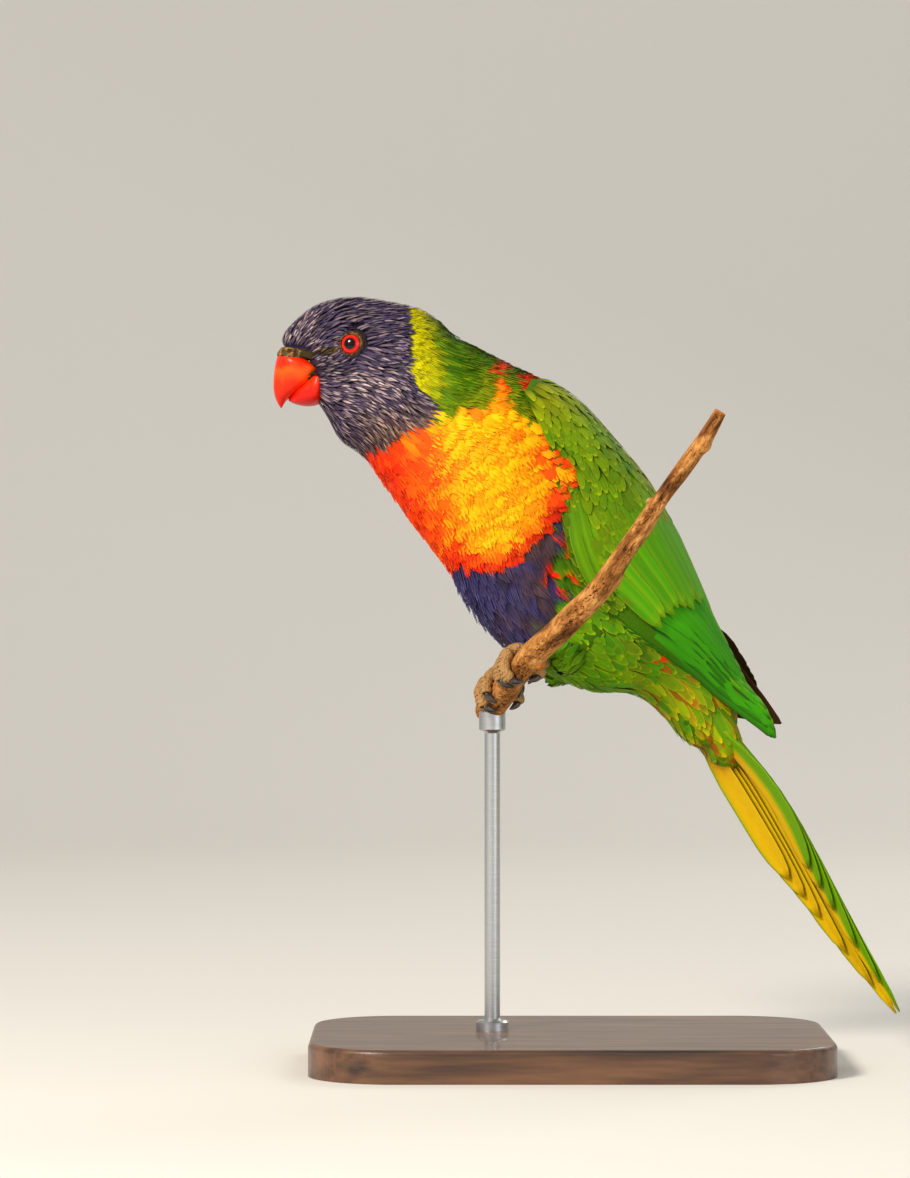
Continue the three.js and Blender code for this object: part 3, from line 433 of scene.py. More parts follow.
palette = {
    "hood": srgb(56, 48, 92), "hoodDeep": srgb(24, 18, 40), "hoodPale": srgb(208, 186, 196),
    "hoodCream": srgb(228, 190, 156), "hoodBrown": srgb(86, 58, 46), "collar": srgb(218, 204, 0),
    "collarDeep": srgb(146, 164, 0), "green": srgb(74, 124, 0), "greenDeep": srgb(24, 62, 0),
    "greenPale": srgb(178, 198, 0), "olive": srgb(142, 140, 0), "yellow": srgb(255, 184, 0),
    "orange": srgb(250, 82, 0), "red": srgb(220, 26, 0), "redDeep": srgb(150, 12, 4),
    "belly": srgb(50, 42, 86), "bellyDeep": srgb(18, 14, 34), "bellyBlue": srgb(92, 88, 140),
    "bellyBrown": srgb(96, 70, 66), "thigh": srgb(76, 140, 0), "vent": srgb(140, 158, 0),
    "bare": srgb(56, 44, 20), "lores": srgb(112, 90, 44), "brown": srgb(78, 46, 20),
    "wing": srgb(112, 146, 0), "primary": srgb(62, 158, 0), "rust": srgb(170, 84, 10),
}


# How far points of the side view lie inside a marking, negative outside.
def inside(points, mark):
    a = np.asarray(marks[mark], float)
    b = np.roll(a, -1, 0)
    edge = b - a
    t = ((points[:, None] - a) * edge).sum(-1) / (edge**2).sum(-1)
    near = a + np.clip(t, 0, 1)[..., None] * edge
    distance = np.linalg.norm(points[:, None] - near, axis=-1).min(1)
    x, z = points[:, :1], points[:, 1:]
    crosses = (a[:, 1] > z) != (b[:, 1] > z)
    xs = a[:, 0] + (z - a[:, 1]) * edge[:, 0] / np.where(np.abs(edge[:, 1]) < 1e-9, 1e-9, edge[:, 1])
    odd = (crosses & (x < xs)).sum(1) % 2
    return np.where(odd == 1, distance, -distance)


# Degrees round the body from -180 to 180, and the same mirrored on the left side.
def centred(degrees):
    return (degrees + 180) % 360 - 180


def folded(degrees):
    turned = centred(degrees)
    return np.where(np.abs(turned) <= 90, turned, np.where(turned > 0, 180 - turned, -180 - turned))


# Where the camera sees places of the left side, as if all lay in the middle plane.
def sideView(place, degrees):
    points = bodyPoint(place, folded(degrees))
    middle = np.array(studio["frameMiddle"])
    return middle + (points[:, [0, 2]] - middle) * (1 / (1 + points[:, 1] / studio["distance"]))[:, None]


# The plumage at points of the side view: its kind and its main and edge colours.
def plumageAt(view, turned, seed=3, ragged=1.0):
    random = np.random.default_rng(seed)
    count = len(view)
    view = view + random.normal(size=(count, 2)) * 0.45 * ragged
    view = view + np.stack([waves(view, 9, 5), waves(view, 9, 6)], 1) * 0.5
    x, z = view.T
    deep = np.clip(0.5 + 0.35 * waves(view, 14, 8) + 0.25 * random.normal(size=count), 0, 1)
    kind = np.full(count, "green", dtype="<U8")

    def tone(first, second, share):
        return mixed(palette[first], palette[second], share)

    def within(mask, new, old):
        return np.where(mask[:, None], new, old)

    main = tone("greenDeep", "green", 0.35 + 0.65 * deep)
    edge = tone("green", "greenPale", deep)
    # the thighs, vent and underside of the tail's root
    under = ramp(10, -30, turned) * ramp(-14, 0, x) * ramp(150, 138, z)
    vent = np.maximum(ramp(132, 118, z) * ramp(-16, -6, x), under)
    main = mixed(main, tone("thigh", "vent", deep * (0.25 + 0.75 * ramp(10, 26, x))), vent)
    edge = mixed(edge, tone("greenPale", "yellow", deep * 0.7 * ramp(14, 26, x)), vent)
    # rusty streaks among the coverts under the tail
    rusty = vent * ramp(0.3, 0.8, waves(view, 5, 17)) * ramp(14, 22, x)
    main = mixed(main, palette["rust"], 0.8 * rusty)
    kind[vent > 0.5] = "vent"
    marked = ("hood", "collar", "breast", "belly")
    hoodIn, collarIn, breastIn, bellyIn = (inside(view, mark) for mark in marked)
    # an olive band over the breast's upper border
    oliveBand = ramp(7, 1, -breastIn) * (breastIn < 0) * ramp(-44, -30, x) * ramp(188, 196, z)
    main = mixed(main, palette["olive"], oliveBand * 0.75)
    brown = ramp(-28, -10, x) * ramp(0.1, 0.7, deep)
    bellyTone = mixed(tone("belly", "bellyDeep", deep * 0.75), palette["bellyBrown"], brown * 0.6)
    main = within(bellyIn > 0, bellyTone, main)
    edge = within(bellyIn > 0, mixed(palette["bellyBlue"], palette["bellyBrown"] * 1.3, brown), edge)
    kind[bellyIn > 0] = "belly"
    # the breast: yellow within, orange and red to the front and along the lower border
    breast = (breastIn > 0) | ((x < -44) & (z < 205) & (z > 160) & (bellyIn < 0))
    toFront = ramp(-30, -56, x + 0.35 * (z - 176))
    above = 0.42 * ramp(-22, -12, x) * ramp(194, 186, z)
    rim = ramp(9.0, 0.5, breastIn) * np.maximum(ramp(188, 170, z), above)
    rows = np.sin((view @ unit(np.array([0.62, -0.78]))) / 6.2 * 6.283 + 1.5 * waves(view, 16, 12))
    heat = 0.1 + 0.85 * toFront + 0.85 * rim + 0.17 * rows + 0.1 * waves(view, 8, 11)
    heat = np.clip(heat + 0.06 * random.normal(size=count) + 0.45 * ramp(201, 207, z), 0, 1)
    breastTone = tone("yellow", "orange", np.clip(heat * 1.7, 0, 1))
    breastTone = mixed(breastTone, palette["red"], np.clip(heat * 2.2 - 1.3, 0, 1))
    breastTone = mixed(breastTone, palette["redDeep"], np.clip(rim * 1.4 - 0.9, 0, 1) * random.random(count))
    light = mixed(breastTone, palette["yellow"], 0.18 * random.random(count))
    tip = mixed(light, palette["red"], np.clip(1.1 * heat - 0.2, 0, 0.6) * (random.random(count) < 0.5))
    main, edge = within(breast, breastTone, main), within(breast, tip, edge)
    kind[breast] = "breast"
    # the collar, which fades into the green behind it
    fading = ramp(-1.4, 3.0, collarIn) * ramp(-50, -46, x) * ramp(200, 204, z) * (breastIn < 0)
    fading = np.where(collarIn > 0, np.maximum(fading, ramp(-44.5, -47, x)), fading)
    main = mixed(main, tone("collar", "collarDeep", deep * 0.5), fading)
    edge = mixed(edge, palette["collar"] * 1.1, fading)
    kind[collarIn > 0] = "collar"
    for fleckX, fleckZ, size in marks["flecks"]:
        near = (np.hypot(x - fleckX, z - fleckZ) < size) & (kind != "breast")
        main[near] = tone("red", "orange", deep[near] * 0.6)
        edge[near] = palette["orange"]
        kind[near & (kind != "belly")] = "green"
    hood = hoodIn > 0
    browned = ramp(204, 190, z) * ramp(-72, -50, x) * 0.75 + 0.2 * deep
    hoodTone = mixed(tone("hoodDeep", "hood", deep), palette["hoodBrown"], browned)
    main = within(hood, hoodTone, main)
    # pale shafts, brightest on the cheek and forehead and dull on the crown and the lower throat
    bright = 0.36 + 0.64 * hill(x + 62, 12) * hill(z - 206, 9)
    bright = np.maximum(bright, 0.95 * ramp(-74, -80, x) * ramp(214, 219, z))
    bright = bright * (0.5 + 0.5 * ramp(-0.5, 0.4, waves(view, 7, 14)))
    shaft = tone("hoodPale", "hoodCream", np.clip(browned * 1.6 + 0.3 * random.random(count), 0, 1))
    edge = within(hood, mixed(hoodTone, shaft, bright), edge)
    lores = 0.95 * ramp(-0.4, 0.5, inside(view, "lores"))
    kind[hood] = "hood"
    return kind, mixed(main, palette["bare"], lores), mixed(edge, palette["lores"], lores)


# Bare skin: the cere, under the bill and round the eye, where no feathers grow.
eye = {
    "radius": 4.3, "ring": 3.85, "x": -66.6, "z": 219.2, "cadOpening": 3.35, "ahead": -0.27,
    "left": {"out": -13.7, "drop": 0, "up": 0.1}, "right": {"out": 15.1, "drop": 1.6, "up": -0.04},
}


# The way an eye looks, the middle of its lids and its own middle.
def eyeFrame(left):
    side = eye["left" if left else "right"]
    direction = unit(np.array([eye["ahead"], -1 if left else 1, side["up"]], float))
    lid = np.array([eye["x"], side["out"], eye["z"] - side["drop"]])
    depth = math.sqrt(eye["radius"] ** 2 - eye["cadOpening"] ** 2) + 0.4
    return direction, lid, lid - direction * depth


def underBill(points):
    return (inside(points[:, [0, 2]], "bill") > 0) & (np.abs(points[:, 1]) < 9)


def bareAt(points):
    bare = (inside(points[:, [0, 2]], "cere") > 0) | underBill(points)
    for left, _ in bothSides:
        bare |= np.linalg.norm(points - eyeFrame(left)[1], axis=1) < eye["ring"]
    return bare


def underWing(place, degrees):
    turned = folded(degrees)
    lowAt, highAt = (np.interp(place, *rail.T) for rail in (lowRail, highRail))
    return (place > 12.6) & (place < 18.2) & (turned > lowAt + 9) & (turned < highAt - 7)


# How near the leading edge of a folded wing a place on the body lies, in front of it.
def byWing(place, turned):
    edge = np.interp(place, *lowRail.T)
    return ramp(-16, -3, turned - edge) * (place > 11.8) * (place < 15.6)


# How far from the bill a place lies, from 0 at the face to 1 behind the cheeks.
def pastFace(x):
    return ramp(-88, -66, x)


# What each kind of feather measures: spacing, length, half width and how far its tip stands out.
kinds = {
    "hood": {"spacing": 0.82, "length": 5.4, "half": 0.42, "tip": 0.18, "proud": 0.28},
    "collar": {"spacing": 0.9, "length": 4.4, "half": 0.75, "tip": 0.14},
    "green": {"spacing": 1.5, "length": 7.0, "half": 1.5, "tip": 0.25},
    "breast": {"spacing": 1.65, "length": 9.5, "half": 3.1, "tip": 0.24},
    "belly": {"spacing": 2.1, "length": 10.0, "half": 2.1, "tip": 0.8},
    "vent": {"spacing": 2.1, "length": 12.5, "half": 1.7, "tip": 0.35},
}
coat = {"depth": 1.1, "faceDepth": 0.5, "shown": 0.62, "wingRise": 2.0, "wingTurn": 0.3, "seed": 21}
coatPieces = {
    "hoodCoat": ("hood", "feathers_violet"), "collarCoat": ("collar", "feathers_collar"),
    "breastCoat": ("breast", "feathers_orange"), "bellyCoat": ("belly", "feathers_violet"),
    "ventCoat": ("vent", "feathers_green"), "backCoat": ("green", "feathers_green"),
}
# Loose feathers: strands, rows, share of the width in each, where the strands part and the first seed.
looseShapes = {
    "collar": (3, [0, 0.3, 0.62, 1], [0.5, 0.9, 1, 0.9], 0.25, 1),
    "green": (5, [0, 0.25, 0.55, 0.8, 1], [0.4, 0.85, 1, 0.96, 0.8], 0.5, 4),
    "breast": (8, [0, 0.25, 0.5, 0.72, 0.88, 1], [0.4, 0.85, 1, 1, 0.96, 0.85], 0.8, 7),
    "belly": (7, [0, 0.25, 0.55, 0.8, 1], [0.4, 0.85, 1, 0.9, 0.75], 0.4, 10),
}
forms = {
    key: [looseForm(*shape, first + k) for k in range(3)] for key, (*shape, first) in looseShapes.items()
}
forms["hood"] = [bladeForm([0, 0.3, 0.55, 0.8, 1.0], [-1, -0.34, 0.34, 1], [0.6, 1.0, 0.95, 0.65, 0.12])]
forms["vent"] = [bladeForm([0, 0.25, 0.5, 0.72, 0.88, 1], [-1, -0.75, -0.12, 0.12, 0.75, 1],
                           [0.4, 0.85, 1, 0.92, 0.66, 0.2])]


def sizeOf(kind, key, other):
    return np.select([kind == k for k in kinds], [size[key] for size in kinds.values()], other)


def coatSpacing(place, degrees):
    view = sideView(place, degrees)
    kind = plumageAt(view, folded(degrees), ragged=0)[0]
    gap = sizeOf(kind, "spacing", 1.6) * (0.72 + 0.28 * ramp(-86, -70, view[:, 0]))
    gap = np.where(kind == "breast", gap * (0.68 + 0.32 * ramp(0.0, 4.0, inside(view, "breast"))), gap)
    return np.where(bareAt(bodyPoint(place, degrees)) | underWing(place, degrees), -1, gap)


# Places in the bake map, in the cell that a coat has there.
def bakeOn(u, v, uSpan, cell):
    share = np.stack([((v + 180) % 360) / 360, (u - uSpan[0]) / (uSpan[1] - uSpan[0])], 1)
    return np.array(cell[:2]) + np.array(cell[2:]) * (0.02 + 0.96 * share)


# Feathers at the hood's and the breast's borders are shorter, for an even line.
def borderShort(kind, view):
    least = 0.55 + 0.2 * ramp(204, 198, view[:, 1])
    hood = least + (1 - least) * ramp(0.0, 5.0, inside(view, "hood"))
    breast = 0.75 + 0.25 * ramp(0.0, 4.0, inside(view, "breast"))
    return np.select([kind == "hood", kind == "breast"], [hood, breast], 1.0)


# The view of the outer part of a feather that starts at a place on the body, where its colours are seen.
def shownView(place, degrees):
    turned = folded(degrees)
    kind = plumageAt(sideView(place, degrees), turned, ragged=0)[0]
    step = np.linalg.norm(bodyPoint(place + 0.1, turned) - bodyPoint(place - 0.1, turned), axis=1) / 0.2
    face = 0.42 + 0.58 * pastFace(bodyPoint(place, turned)[:, 0])
    reach = coat["shown"] * sizeOf(kind, "length", 6.0) * face / step
    return sideView(place + reach * borderShort(kind, sideView(place + reach, degrees)), degrees)


# One kind of feather over a surface, as the arrays of its piece.
def softBatches(key, surface, u, v, steps, view, bake, seed, paint, scale=1.0, lengthen=1.0, onWing=0.0):
    random = np.random.default_rng(seed)
    count, size = len(u), kinds[key]
    main, edge = paint
    at = surface(u, v)
    length = size["length"] * scale * random.uniform(0.85, 1.15, count) * lengthen
    half = size["half"] * scale * random.uniform(0.85, 1.15, count)
    if key == "breast":
        half = half * (0.5 + 0.5 * ramp(0.0, 4.0, inside(view, "breast")))
    length = length * borderShort(np.full(count, key), view)
    tip = size["tip"] * random.uniform(0.5, 1.5, count)
    face = pastFace(at[:, 0])
    length, half = length * (0.42 + 0.58 * face), half * (0.66 + 0.34 * face)
    turn = random.normal(size=count) * (0.1 if key == "hood" else 0.13)
    for left, _ in bothSides:
        # feathers before the eye part round it, and those behind it close up again
        away = at - eyeFrame(left)[1]
        near = np.linalg.norm(away, axis=1)
        part = ramp(10, 4.5, near) * np.sign(away[:, 2]) * np.where(away[:, 0] < 0, 0.6, -0.25)
        turn += -part if left else part
        before = (near < 8.5) & (away[:, 0] < 0.5)
        length = np.where(before, np.minimum(length, np.maximum(near - 3.6, 0.9)), length)
    depth = blend(coat["faceDepth"], coat["depth"], face)
    turn += coat["wingTurn"] * onWing * np.where(np.abs(centred(v)) < 90, 1, -1)
    pale = random.uniform(0, 1, count)
    rise = coat["wingRise"] * onWing + size.get("proud", 0.0) * ramp(0.5, 0.95, pale) * (0.4 + 0.6 * face)
    lifts = (-depth - 0.35, -0.35 * depth + 0.7 * rise, tip * (0.4 + 0.6 * face) + rise)
    stations = layOn(surface, u, v, steps, turn, length, lifts)
    choice = random.integers(0, len(forms[key]), count)
    batches = []
    for i, form in enumerate(forms[key]):
        pick = choice == i
        colours = featherColours(key, form, main[pick], edge[pick], pale[pick, None], random)
        batches.append(layFeathers(*(part[pick] for part in stations), half[pick], form, colours, bake[pick]))
    return batches


def featherColours(key, form, main, edge, pale, random):
    each = (len(main), 1)
    s, w = form["s"][None], form["w"][None]
    tone = 1 + (0.45 if key == "breast" else 1.0) * random.uniform(-0.2, 0.18, each)
    strands = 1 + (0.06 if key == "breast" else 0.13) * np.sin(w * 23 + random.uniform(0, 6, each))
    if key == "hood":
        # the pale line of the shaft, strongest on the cheeks
        share = (np.abs(w) < 0.5) * ramp(0.1, 0.4, s) * (1 - 0.5 * ramp(0.8, 1.0, s))
        share = share * (0.12 + 0.88 * ramp(0.35, 0.95, pale))
        shade = (1 - 0.3 * (np.abs(w) > 0.5)) * (0.75 + 0.25 * ramp(0.0, 0.4, s))
    elif key == "breast":
        share = ramp(0.62, 0.95, s) * random.uniform(0.2, 0.8, each)
        shade = (0.7 + 0.3 * ramp(0.1, 0.6, s)) * strands
    else:
        start = 0.88 if key == "vent" else 0.6
        rim = np.maximum(ramp(start, 1.0, s), ramp(start, 1.0, np.abs(w)) * ramp(0.3, 0.6, s))
        share = rim * random.uniform(0.15, 0.85, each)
        shade = (0.6 + 0.4 * ramp(0.1, 0.6, s)) * strands
    return np.clip(mixed(main[:, None], edge[:, None], share) * (tone * shade)[..., None], 0, 1)


def bodyCoat():
    place, degrees = scatter(bodyPoint, (0.4, 20.3), (-180, 180), coatSpacing, coat["seed"])
    view, turned = shownView(place, degrees), folded(degrees)
    kind, main, edge = plumageAt(view, turned, seed=coat["seed"])
    onWing = byWing(place, turned) * (kind == "breast")
    bake = bakeOn(place, degrees, (0, 21), (0, 0, 1, 0.8))
    longer = 1 + 0.55 * ramp(16, 19, place)
    for i, (name, (key, slot)) in enumerate(coatPieces.items()):
        p = kind == key
        batches = softBatches(key, bodyPoint, place[p], degrees[p], (0.05, 1.0), view[p], bake[p],
                              coat["seed"] + 10 * i, (main[p], edge[p]), lengthen=longer[p], onWing=onWing[p])
        finishPiece(featherPiece(name, batches), softPlumage, slot)


# Vent feathers over a surface of its own, with an even spacing and a cell of the bake map.
def ventBatches(surface, uSpan, spacing, seeds, cells, wide, cell, viewOf, turnedOf, **sizes):
    u, v = scatter(surface, uSpan, (-180, 180), lambda u, v: np.full(u.shape, spacing), seeds[0], cells=cells)
    view = viewOf(surface(u, v)[:, [0, 2]])
    paint = plumageAt(view, turnedOf(v), seed=coat["seed"])[1:]
    sizes = {key: value(u) if callable(value) else value for key, value in sizes.items()}
    bake = bakeOn(u, v, (0, wide), cell)
    return softBatches("vent", surface, u, v, (0.02, 1.0), view, bake, seeds[1], paint, **sizes)


# The root of the tail and its coverts, above and below.
tailRows = [
    (28.4, 106.4, 47.8, 116.0, 7, 9.6, 26), (37.2, 100.6, 48.9, 108.5, 7.8, 9.2, 28),
    (43.9, 93.0, 51.9, 98.4, 8.5, 7.8, 31), (50.9, 90.5, 51.3, 91.0, 8.9, 0.3, 33),
]
tailCoverts = {"spacing": 2.2, "length": 13.0, "seed": 61}


def tailRootPoint(u, v, lift=0.0):
    return runPoint(tailRows, u, v, lift)


def tailRootCoat():
    seeds = (tailCoverts["seed"], tailCoverts["seed"])
    return featherPiece("tailRootCoat", ventBatches(
        tailRootPoint, (0.25, 2.5), tailCoverts["spacing"], seeds, (60, 90), 3, (0, 0.82, 0.5, 0.16),
        lambda view: view, folded, scale=tailCoverts["length"] / kinds["vent"]["length"],
        lengthen=lambda u: 1 - 0.25 * ramp(1.6, 2.5, u),
    ))


# The thighs, short cones of loose feathers over the feet.
thighs = {
    "lines": [[(8, -8, 136), (0, -9, 127), (-6, -10, 122.8)], [(8, 12, 132), (0, 11, 124), (-8, 8.5, 119)]],
    "radii": [10, 7.6, 4.4], "spacing": 1.6, "seed": 71, "scale": 0.62, "seenFrom": -30.0,
}


def thighSurface(line):
    def surface(u, v, lift=0.0):
        u, v, lift = np.broadcast_arrays(np.asarray(u, float), v, lift)
        ahead = unit(curveAt(line, u + 0.02) - curveAt(line, u - 0.02))
        across = unit(np.cross(ahead, np.array([0.0, 1.0, 0.0])))
        radius = curveOf(thighs["radii"], u) + lift
        return curveAt(line, u) + ringed(across, np.cross(ahead, across), v, radius)

    return surface


def thighCoat():
    batches = []
    for i, line in enumerate(thighs["lines"]):
        seed = thighs["seed"] + i
        batches += ventBatches(
            thighSurface(line), (0.4, 0.95), thighs["spacing"], (seed, seed + 5), (40, 60), 1,
            (0.5 + 0.25 * i, 0.82, 0.22, 0.16), lambda view: view + np.array([-1.0, 3.0]),
            lambda v: np.full(len(v), thighs["seenFrom"]), scale=thighs["scale"],
        )
    return featherPiece("thighCoat", batches)


# Materials. A look adds nodes to a tree, each fed with values or with other nodes' sockets.
class Look:
    def __init__(self, tree):
        self.tree = tree

    def feed(self, node, values):
        for key, value in values.items():
            if isinstance(value, bpy.types.NodeSocket):
                self.tree.links.new(value, node.inputs[key])
            else:
                node.inputs[key].default_value = value

    def add(self, kind, values, **settings):
        node = self.tree.nodes.new("ShaderNode" + kind)
        for key, value in settings.items():
            setattr(node, key, value)
        self.feed(node, values)
        return node.outputs

    def math(self, operation, *values):
        return self.add("Math", dict(enumerate(values)), operation=operation)[0]

    def span(self, value, low, high, first=0.0, last=1.0):
        return self.add("MapRange", {"Value": value, 1: low, 2: high, 3: first, 4: last})[0]

    def moved(self, place, values, **settings):
        return self.add("Mapping", {"Vector": place, **values}, **settings)[0]

    def place(self):
        return self.add("TexCoord", {})["Object"]

    def noise(self, scale, detail=4.0, stretch=None, place=None):
        if place is None:
            place = self.place()
        if stretch is not None:
            place = self.moved(place, stretch)
        return self.add("TexNoise", {"Vector": place, "Scale": scale, "Detail": detail})["Fac"]

    def cells(self, scale):
        return self.add("TexVoronoi", {"Vector": self.place(), "Scale": scale})["Distance"]

    def paint(self):
        return self.add("VertexColor", {}, layer_name="plumage")["Color"]

    def stops(self, value, rows):
        colour = self.add("ValToRGB", {"Fac": value})["Color"]
        elements = colour.node.color_ramp.elements
        while len(elements) < len(rows):
            elements.new(0.5)
        for element, (position, tone) in zip(elements, rows):
            element.position = position
            element.color = (*tone, 1)
        return colour


# A material's look, whose shader takes the values, colour and bump that it is given.
class Finish(Look):
    def __init__(self, name, roughness, coat=0.0, gloss=0.03, metallic=0.0, specular=0.5):
        self.material = bpy.data.materials.new(name)
        self.material.use_nodes = True
        super().__init__(self.material.node_tree)
        self.shader = self.tree.nodes["Principled BSDF"]
        self.feed(self.shader, {"Roughness": roughness, "Coat Weight": coat, "Coat Roughness": gloss,
                                "Metallic": metallic, "Specular IOR Level": specular})

    # The bump is its height, strength and distance.
    def done(self, colour, bump=None, **values):
        if bump is not None:
            values["Normal"] = self.add("Bump", dict(zip(("Height", "Strength", "Distance"), bump)))["Normal"]
        self.feed(self.shader, {"Base Color": colour, **values})
        return self.material


# A shader group: barbs of a feather as fine slanting lines, from its own map.
def barbGroup():
    group = bpy.data.node_groups.new("featherBarbs", "ShaderNodeTree")
    for name, way in (("Count", "INPUT"), ("Slant", "INPUT"), ("Lines", "OUTPUT")):
        group.interface.new_socket(name=name, in_out=way, socket_type="NodeSocketFloat")
    entry, leave = group.nodes.new("NodeGroupInput").outputs, group.nodes.new("NodeGroupOutput")
    look = Look(group)
    parts = look.add("SeparateXYZ", {"Vector": look.add("UVMap", {}, uv_map="vane")["UV"]})
    away = look.math("ABSOLUTE", look.math("SUBTRACT", parts["X"], 0.5))
    run = look.math("SUBTRACT", parts["Y"], look.math("MULTIPLY", away, entry["Slant"]))
    bent = look.math("MULTIPLY_ADD", look.noise(900.0, 2.0), 0.03, run)
    wave = look.math("SINE", look.math("MULTIPLY", bent, entry["Count"]))
    look.feed(leave, {"Lines": look.span(wave, -1.0, 1.0)})
    return group


barbs = barbGroup()


def plumageMaterial(name, count, slant, roughness, bump):
    look = Finish(name, roughness, specular=0.12)
    lines = look.add("Group", {"Count": count, "Slant": slant}, node_tree=barbs)["Lines"]
    shade = look.span(lines, 0.0, 1.0, 0.84, 1.06)
    tinted = look.add("Mix", {0: 1.0, 6: look.paint(), 7: shade}, data_type="RGBA", blend_type="MULTIPLY")[2]
    return look.done(tinted, (lines, bump, 0.0002))


def skinMaterial():
    look = Finish("skinUnderCoat", 0.75, specular=0.1)
    return look.done(look.paint(), (look.cells(1600.0), 0.6, 0.0003))


def finishPiece(piece, material, slot, *nodes):
    piece.data.materials.clear()
    piece.data.materials.append(material)
    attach(piece, "root")
    if nodes:
        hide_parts(*nodes)


softPlumage = plumageMaterial("softPlumage", 130, 0.5, 0.66, 0.2)
vanePlumage = plumageMaterial("vanePlumage", 520, 0.35, 0.55, 0.3)
bodyCoat()
for piece in (tailRootCoat(), thighCoat()):
    finishPiece(piece, softPlumage, "feathers_green")


# Solid forms.
def objectOf(name, shape, smooth=True):
    mesh = bpy.data.meshes.new(name)
    bmesh.ops.recalc_face_normals(shape, faces=shape.faces)
    shape.to_mesh(mesh)
    shape.free()
    mesh.polygons.foreach_set("use_smooth", np.full(len(mesh.polygons), smooth))
    return linked(name, mesh)


def cornerValues(mesh, key="co"):
    values = np.empty(len(mesh.vertices) * 3, np.float32)
    mesh.vertices.foreach_get(key, values)
    return values.reshape(-1, 3)


def cornersOf(piece):
    return cornerValues(piece.data).astype(float) / mm


def ballOf(around, rings, radius=1.0):
    shape = bmesh.new()
    bmesh.ops.create_uvsphere(shape, u_segments=around, v_segments=rings, radius=radius)
    return shape


# A ball of fine rings, each corner then moved by a function of its share from pole to pole and its turn.
def shapedBall(around, rings, place):
    shape = ballOf(around, rings)
    co = np.array([v.co[:] for v in shape.verts])
    down = np.arccos(np.clip(co[:, 2], -1, 1)) / np.pi
    turn = np.degrees(np.arctan2(co[:, 1], co[:, 0]))
    pole = (down < 1e-4) | (down > 1 - 1e-4)
    for vertex, at in zip(shape.verts, place(down, turn, pole[:, None]) * mm):
        vertex.co = at
    return shape


def runBall(rows, around, rings, shape=None, boxed=0):
    def place(down, turn, pole):
        u = down * (len(rows) - 1)
        middle = (runPoint(rows, u, 0) + runPoint(rows, u, 180)) / 2
        at = np.where(pole, middle, runPoint(rows, u, turn, boxed=boxed))
        return at if shape is None else shape(at, middle)

    return shapedBall(around, rings, place)


# How far a ball's radius has grown from its poles, over a share of its length.
def roundEnds(down, share):
    return np.sqrt(np.clip(np.minimum(down, 1 - down) / share, 0, 1))


# A profile of radii and heights spun round an upright axis.
def spun(profile, x, y, steps, closed=False):
    shape = bmesh.new()
    corners = [shape.verts.new(((x + radius) * mm, y * mm, z * mm)) for radius, z in profile]
    ahead = corners[1:] + corners[:1] if closed else corners[1:]
    edges = [shape.edges.new(pair) for pair in zip(corners, ahead)]
    bmesh.ops.spin(shape, geom=corners + edges, cent=(x * mm, y * mm, 0), axis=(0, 0, 1), angle=2 * math.pi,
                   steps=steps, use_merge=True)
    return shape


def moveBy(shape, at, turn):
    matrix = Matrix.Translation(Vector(at) * mm) @ turn.to_4x4()
    bmesh.ops.transform(shape, matrix=matrix, verts=shape.verts)


# The skin under the coat, one closed form over the head, neck, trunk, rump and thighs.
skin = {
    "nodes": ["head", "neck", "trunk", "rump", "leg_left", "leg_right"],
    "swell": 0.25, "voxel": 0.8, "relax": 5, "bareDepth": 0.15, "billDepth": 1.7,
    "foreheadMiddle": (-76.0, 212.0), "foreheadReach": 18.0,
    # how the forehead sinks below the solid's: angle round the head, x and z
    "foreheadSink": [(60, 0, 0), (76.6, 0.2, -0.4), (97.6, 0.8, -1.0), (118.8, 1.2, -1.6), (138, 0.8, -0.9),
                     (152, 0, 0)],
}


def remeshed(piece, voxel, relax, swell=0.0):
    if swell:
        grow = piece.modifiers.new("swell", "DISPLACE")
        grow.strength = swell * mm
        grow.mid_level = 0
    remesh = piece.modifiers.new("remesh", "REMESH")
    remesh.mode = "VOXEL"
    remesh.voxel_size = voxel * mm
    piece.modifiers.new("relax", "SMOOTH").iterations = relax
    bpy.context.view_layer.update()
    final = bpy.data.meshes.new_from_object(piece.evaluated_get(bpy.context.evaluated_depsgraph_get()))
    piece.modifiers.clear()
    piece.data = final
    final.polygons.foreach_set("use_smooth", np.ones(len(final.polygons), bool))
    return cornerValues(final) / mm, cornerValues(final, "normal")


def moveTo(piece, at):
    piece.data.vertices.foreach_set("co", (at * mm).astype(np.float32).ravel())
    piece.data.update()


